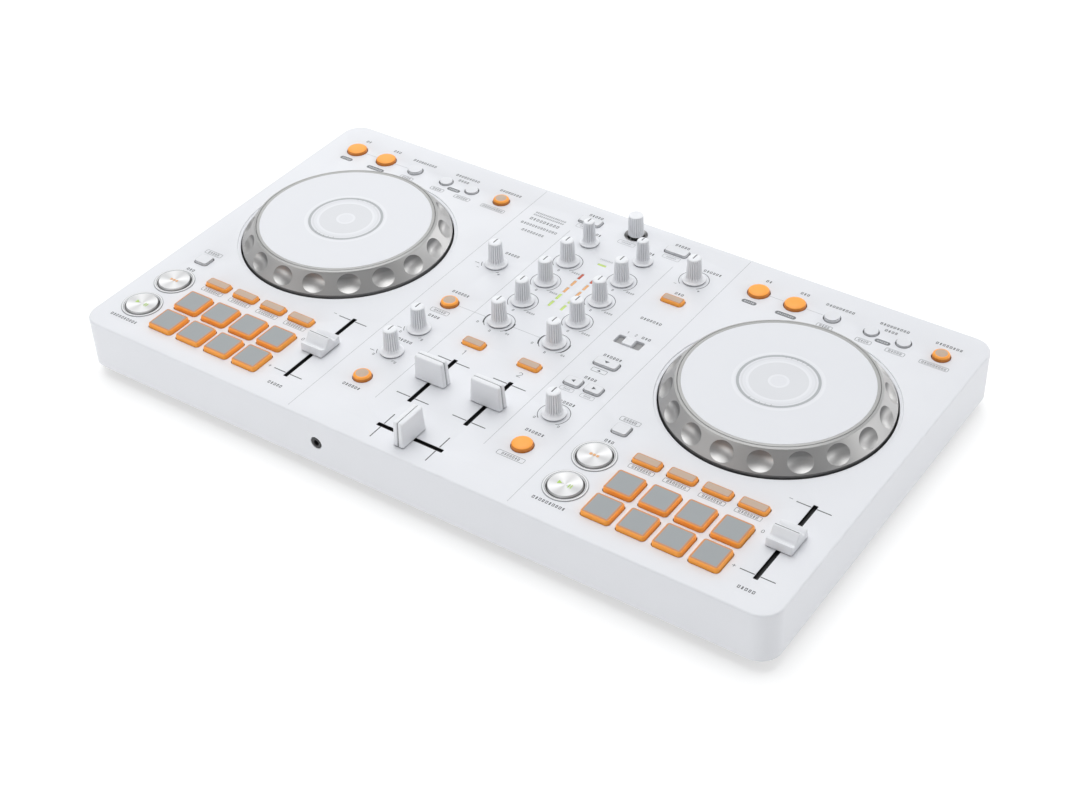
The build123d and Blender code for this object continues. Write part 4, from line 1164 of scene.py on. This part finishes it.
def mixer_print():
    """The mixer's print."""
    knob_ends = [(x, y) for x in (-65, -49) for y in (-41.5, -67.6)] + [(49, -65), (65.4, -65)]
    heading = [(108.5, 23, 1.5), (105.8, 23, 1.5), (101.0, 23, 2.6), (94.5, 27, 2.2), (87.5, 17, 2.2)]
    for x in (-77, 77):
        bar(x, 0.5, FINE, 264, 1)
    for x in (-38.5, 38.5):
        bar(x, 1.5, FINE, 202, 1)
    for node in RING_KNOBS:
        ring_marks(node)
    channel_print(1, -20)
    channel_print(2, 20)
    words(0, [(-32.5, 124.3, 10), (32.5, 124.3, 10), (-54, 60, 10), (-57, 9, 12), (-57, -18.6, 8),
              (-57, -47.5, 10), (-57, -98.5, 12), (63, 109.5, 12), (57, 79.5, 6), (57, 47, 16),
              (64, 30.3, 6), (57, 4.4, 14), (57, -19.2, 8), (57, -45, 12), (57, -76.3, 12)])
    words(0, [(x, y, 2.4) for x, y in knob_ends], 0, 1.8)
    for y, length, height in heading:
        word(-57.5, y, length, 0, height)
    for x, y, both in ((-65.2, 38, False), (-49.2, 38, True), (48.6, 88.3, False), (65.2, 88.3, True)):
        sign(x, y, both, 1.8)
    label(-57, -12.6, 13, 8)
    label(57.4, -100.3, 18, 13)
    for x, y in ((-32.5, 110.2), (32.5, 110.2), (0, 109)):
        label(x, y, 12, 7, 3.6, 1, 1.2)
    word(0, 86, 9, 1, 1.2)
    for x in (50.3, 64.3):
        label(x, -34.2, 9, 5, 3.2, 1, 1.2)
    digit(1, 51.5, 30.3, 2.0)
    digit(2, 57, 30.3, 2.0)
    frame_line(57, -10.2, 10, 3.4)
    PRINT_AND_KEY_SHADE.add(lift([(55.8, -10.9), (58.2, -10.9), (57, -9.3)], PRINT_Z), [(0, 1, 2)], 2, True)
    for x in (-19.5, 19.5):
        end_tick(x, -117, 11.5, True)
    for low, high in ((-50, -30.3), (-9.7, 9.7)):
        bar((low + high) / 2, -2, high - low, FINE, 1)


def key_gap_shade_lines():
    """Fine dark lines round the plain white keys: painted shade of the gaps round them."""
    for node, keys in KEYS.items():
        for key in keys:
            if kind_of(node) in SLAB_KEYS or len(key) == 4 and key[2] < 5:
                strip(PRINT_AND_KEY_SHADE, key_hole(key, KEY_GAP)(0.2), FINE, PRINT_Z, 0, True)


key_gap_shade_lines()
for deck in DECKS:
    deck_print(deck)
mixer_print()
piece("panel_print_and_key_shade", PRINT_AND_KEY_SHADE, [INK, PALE_INK, DARK_INK, WHITE], "case")


# ---------------- sockets
def along_y(shape, outline, start, inward, steps, paint=0, end=True):
    """A loft of an X-Z outline along Y: steps are (grow, distance inwards from the start)."""
    rings = [[(x, start + inward * depth, z) for x, z in outline(grow)] for grow, depth in steps]
    shape.loft(rings, paint, False, end)


BAY_DEPTH = 9.5
PIN_SPACING = 18.0


def socket_set():
    """The visible parts of every socket."""
    shape = Shape()
    phones = [(1.8, 2.4), (1.8, 0.25), (1.6, 0.06), (0.35, 0.06), (0.0, 0.4), (0.0, 12)]
    along_y(shape, round_hole(*PHONES, 1.75), FRONT, 1, phones)
    mic = [(2.35, 2.4), (2.35, 0.3), (2.1, 0.06), (0.5, 0.06), (0.0, 0.5), (0.0, 23)]
    along_y(shape, round_hole(MIC_X, REAR_Z, 3.2), BACK, -1, mic)
    bay = [(1.5, 2.4), (1.5, 0.3), (1.3, 0.06), (0.3, 0.06), (0.0, 0.4), (0.0, BAY_DEPTH)]
    along_y(shape, box_hole(OUTPUT_X, REAR_Z, 39.0, 12.0, 1.5), BACK, -1, bay)
    floor = BACK - BAY_DEPTH
    collar = [(0.6, 0), (0.6, 1.2), (0.4, 1.5), (-1.2, 1.5)]
    pin = [(0.0, 1.0), (0.0, 8.2), (-0.3, 8.5), (-0.7, 8.5), (-0.8, 8.2), (-0.8, 1.0)]
    core = [(0.9, 1.0), (0.9, 7.4), (0.0, 7.4), (0.0, 2.0)]
    for side, paint in ((-1, 2), (1, 3)):
        x = OUTPUT_X + side * PIN_SPACING / 2
        along_y(shape, round_hole(x, REAR_Z, 5.2), floor, 1, collar, paint, False)
        along_y(shape, round_hole(x, REAR_Z, 4.1), floor, 1, pin, 1)
        along_y(shape, round_hole(x, REAR_Z, 1.5), floor, 1, core, 2)
    usb = [(0.33, 2.4), (0.33, 0.1), (0.2, 0.03), (0.05, 0.03), (0.0, 0.1), (0.0, 7)]
    along_y(shape, box_hole(USB_X, REAR_Z, 8.94, 3.26, 1.6), BACK, -1, usb, 1)
    tongue = [(0, 7), (0, 0.9), (-0.1, 0.75)]
    along_y(shape, box_hole(USB_X, REAR_Z, 6.6, 0.7, 0.1, 1), BACK, -1, tongue)
    plate = [(4.0, 4.1), (4.0, 2.65), (0.0, 2.65), (0.0, 4.1)]
    along_y(shape, box_hole(LOCK_X, REAR_Z, 7.0, 3.0, 0.8), BACK, -1, plate, 1, False)
    return shape


piece("socket_set", socket_set(), [BLACK, STEEL, KEY_WHITE, RED_RING], "case", ["sockets"])


# ---------------- CAD nodes that are shown as they are
SHOWN = {"bottom_cover": COVER, "rubber_feet": RUBBER, "case_screws": SCREW, "circuit_boards": BOARD,
         "rotary_pots": POT, "slide_pots": POT, "jog_spindles": SPINDLE, "browse_shaft": SHAFT}
for node, material in SHOWN.items():
    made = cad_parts[node]
    made.data.materials.clear()
    made.data.materials.append(material)


# ---------------- stage, light and camera
def floor_look():
    """Plain near-white studio paper."""
    material = bpy.data.materials.new("studio_paper")
    material.use_nodes = True
    surface = material.node_tree.nodes["Principled BSDF"]
    surface.inputs["Base Color"].default_value = (0.6, 0.6, 0.6, 1)
    surface.inputs["Roughness"].default_value = 0.9
    surface.inputs["Specular IOR Level"].default_value = 0.1
    surface.inputs["Emission Color"].default_value = (1, 1, 1, 1)
    surface.inputs["Emission Strength"].default_value = 0.52
    return material


def sheet_of_light(name, place, aim_z, size, power):
    """A soft oblong light that faces a point over the middle of the floor."""
    light = bpy.data.lights.new(name, "AREA")
    light.shape = "RECTANGLE"
    light.size, light.size_y = size
    light.energy = power
    made = bpy.data.objects.new(name, light)
    SCENE.collection.objects.link(made)
    made.location = place
    made.rotation_euler = (Vector((0, 0, aim_z)) - Vector(place)).to_track_quat("-Z", "Y").to_euler()


REACH = 6.0
paper = bpy.data.meshes.new("paper")
corners = [(-REACH, -REACH, 0), (REACH, -REACH, 0), (REACH, REACH, 0), (-REACH, REACH, 0)]
paper.from_pydata(corners, [], [(0, 1, 2, 3)])
paper.materials.append(floor_look())
floor = bpy.data.objects.new("paper", paper)
SCENE.collection.objects.link(floor)

sheet_of_light("overhead", (-0.35, 0.25, 1.9), 0, (2.2, 2.2), 31)
sheet_of_light("right_soft", (2.0, 0.9, 0.6), 0.05, (1.4, 0.8), 5.5)
sheet_of_light("back_right", (0.75, 2.2, 0.45), 0.05, (0.9, 0.5), 5)
sheet_of_light("front_low", (-1.3, -2.4, 0.35), 0.03, (2.0, 0.6), 15)
sheet_of_light("back_left", (-1.5, 1.2, 1.0), 0.05, (1.2, 0.9), 4)

world = bpy.data.worlds.new("studio")
world.use_nodes = True
sky = world.node_tree
sky.nodes["Background"].inputs["Color"].default_value = (0.97, 0.985, 1.0, 1)
toward = sky.nodes.new("ShaderNodeTexCoord")
split = sky.nodes.new("ShaderNodeSeparateXYZ")
sky.links.new(toward.outputs["Generated"], split.inputs["Vector"])


def band(axis, low, high):
    """How far the sky has come between two limits along one axis, from 0 to 1."""
    return ramp(sky, split.outputs[axis], low, high, 0.0, 1.0)


def times(one, two):
    """The product of two values."""
    product = sky.nodes.new("ShaderNodeMath")
    product.operation = "MULTIPLY"
    sky.links.new(one, product.inputs[0])
    sky.links.new(two, product.inputs[1])
    return product.outputs["Value"]


# the sky is darker half way up on every side but the back, which gives the metal its contrast
dark = times(band("Y", 0.8, 0.4), times(band("Z", 0.12, 0.32), band("Z", 0.98, 0.8)))
sky.links.new(ramp(sky, dark, 0, 1, 0.82, 0.22), sky.nodes["Background"].inputs["Strength"])
SCENE.world = world
SCENE.view_settings.view_transform = "Standard"
SCENE.view_settings.look = "None"

camera_data = bpy.data.cameras.new("camera")
camera_data.lens = 63.798
camera_data.sensor_width = 36.0
camera_data.shift_x = 0.00506
camera_data.shift_y = 0.00026
camera = bpy.data.objects.new("camera", camera_data)
SCENE.collection.objects.link(camera)
camera.location = (0.54225, -0.74094, 0.72846)
camera.rotation_euler = (radians(51.1613), radians(1.8706), radians(34.5771))
SCENE.camera = camera
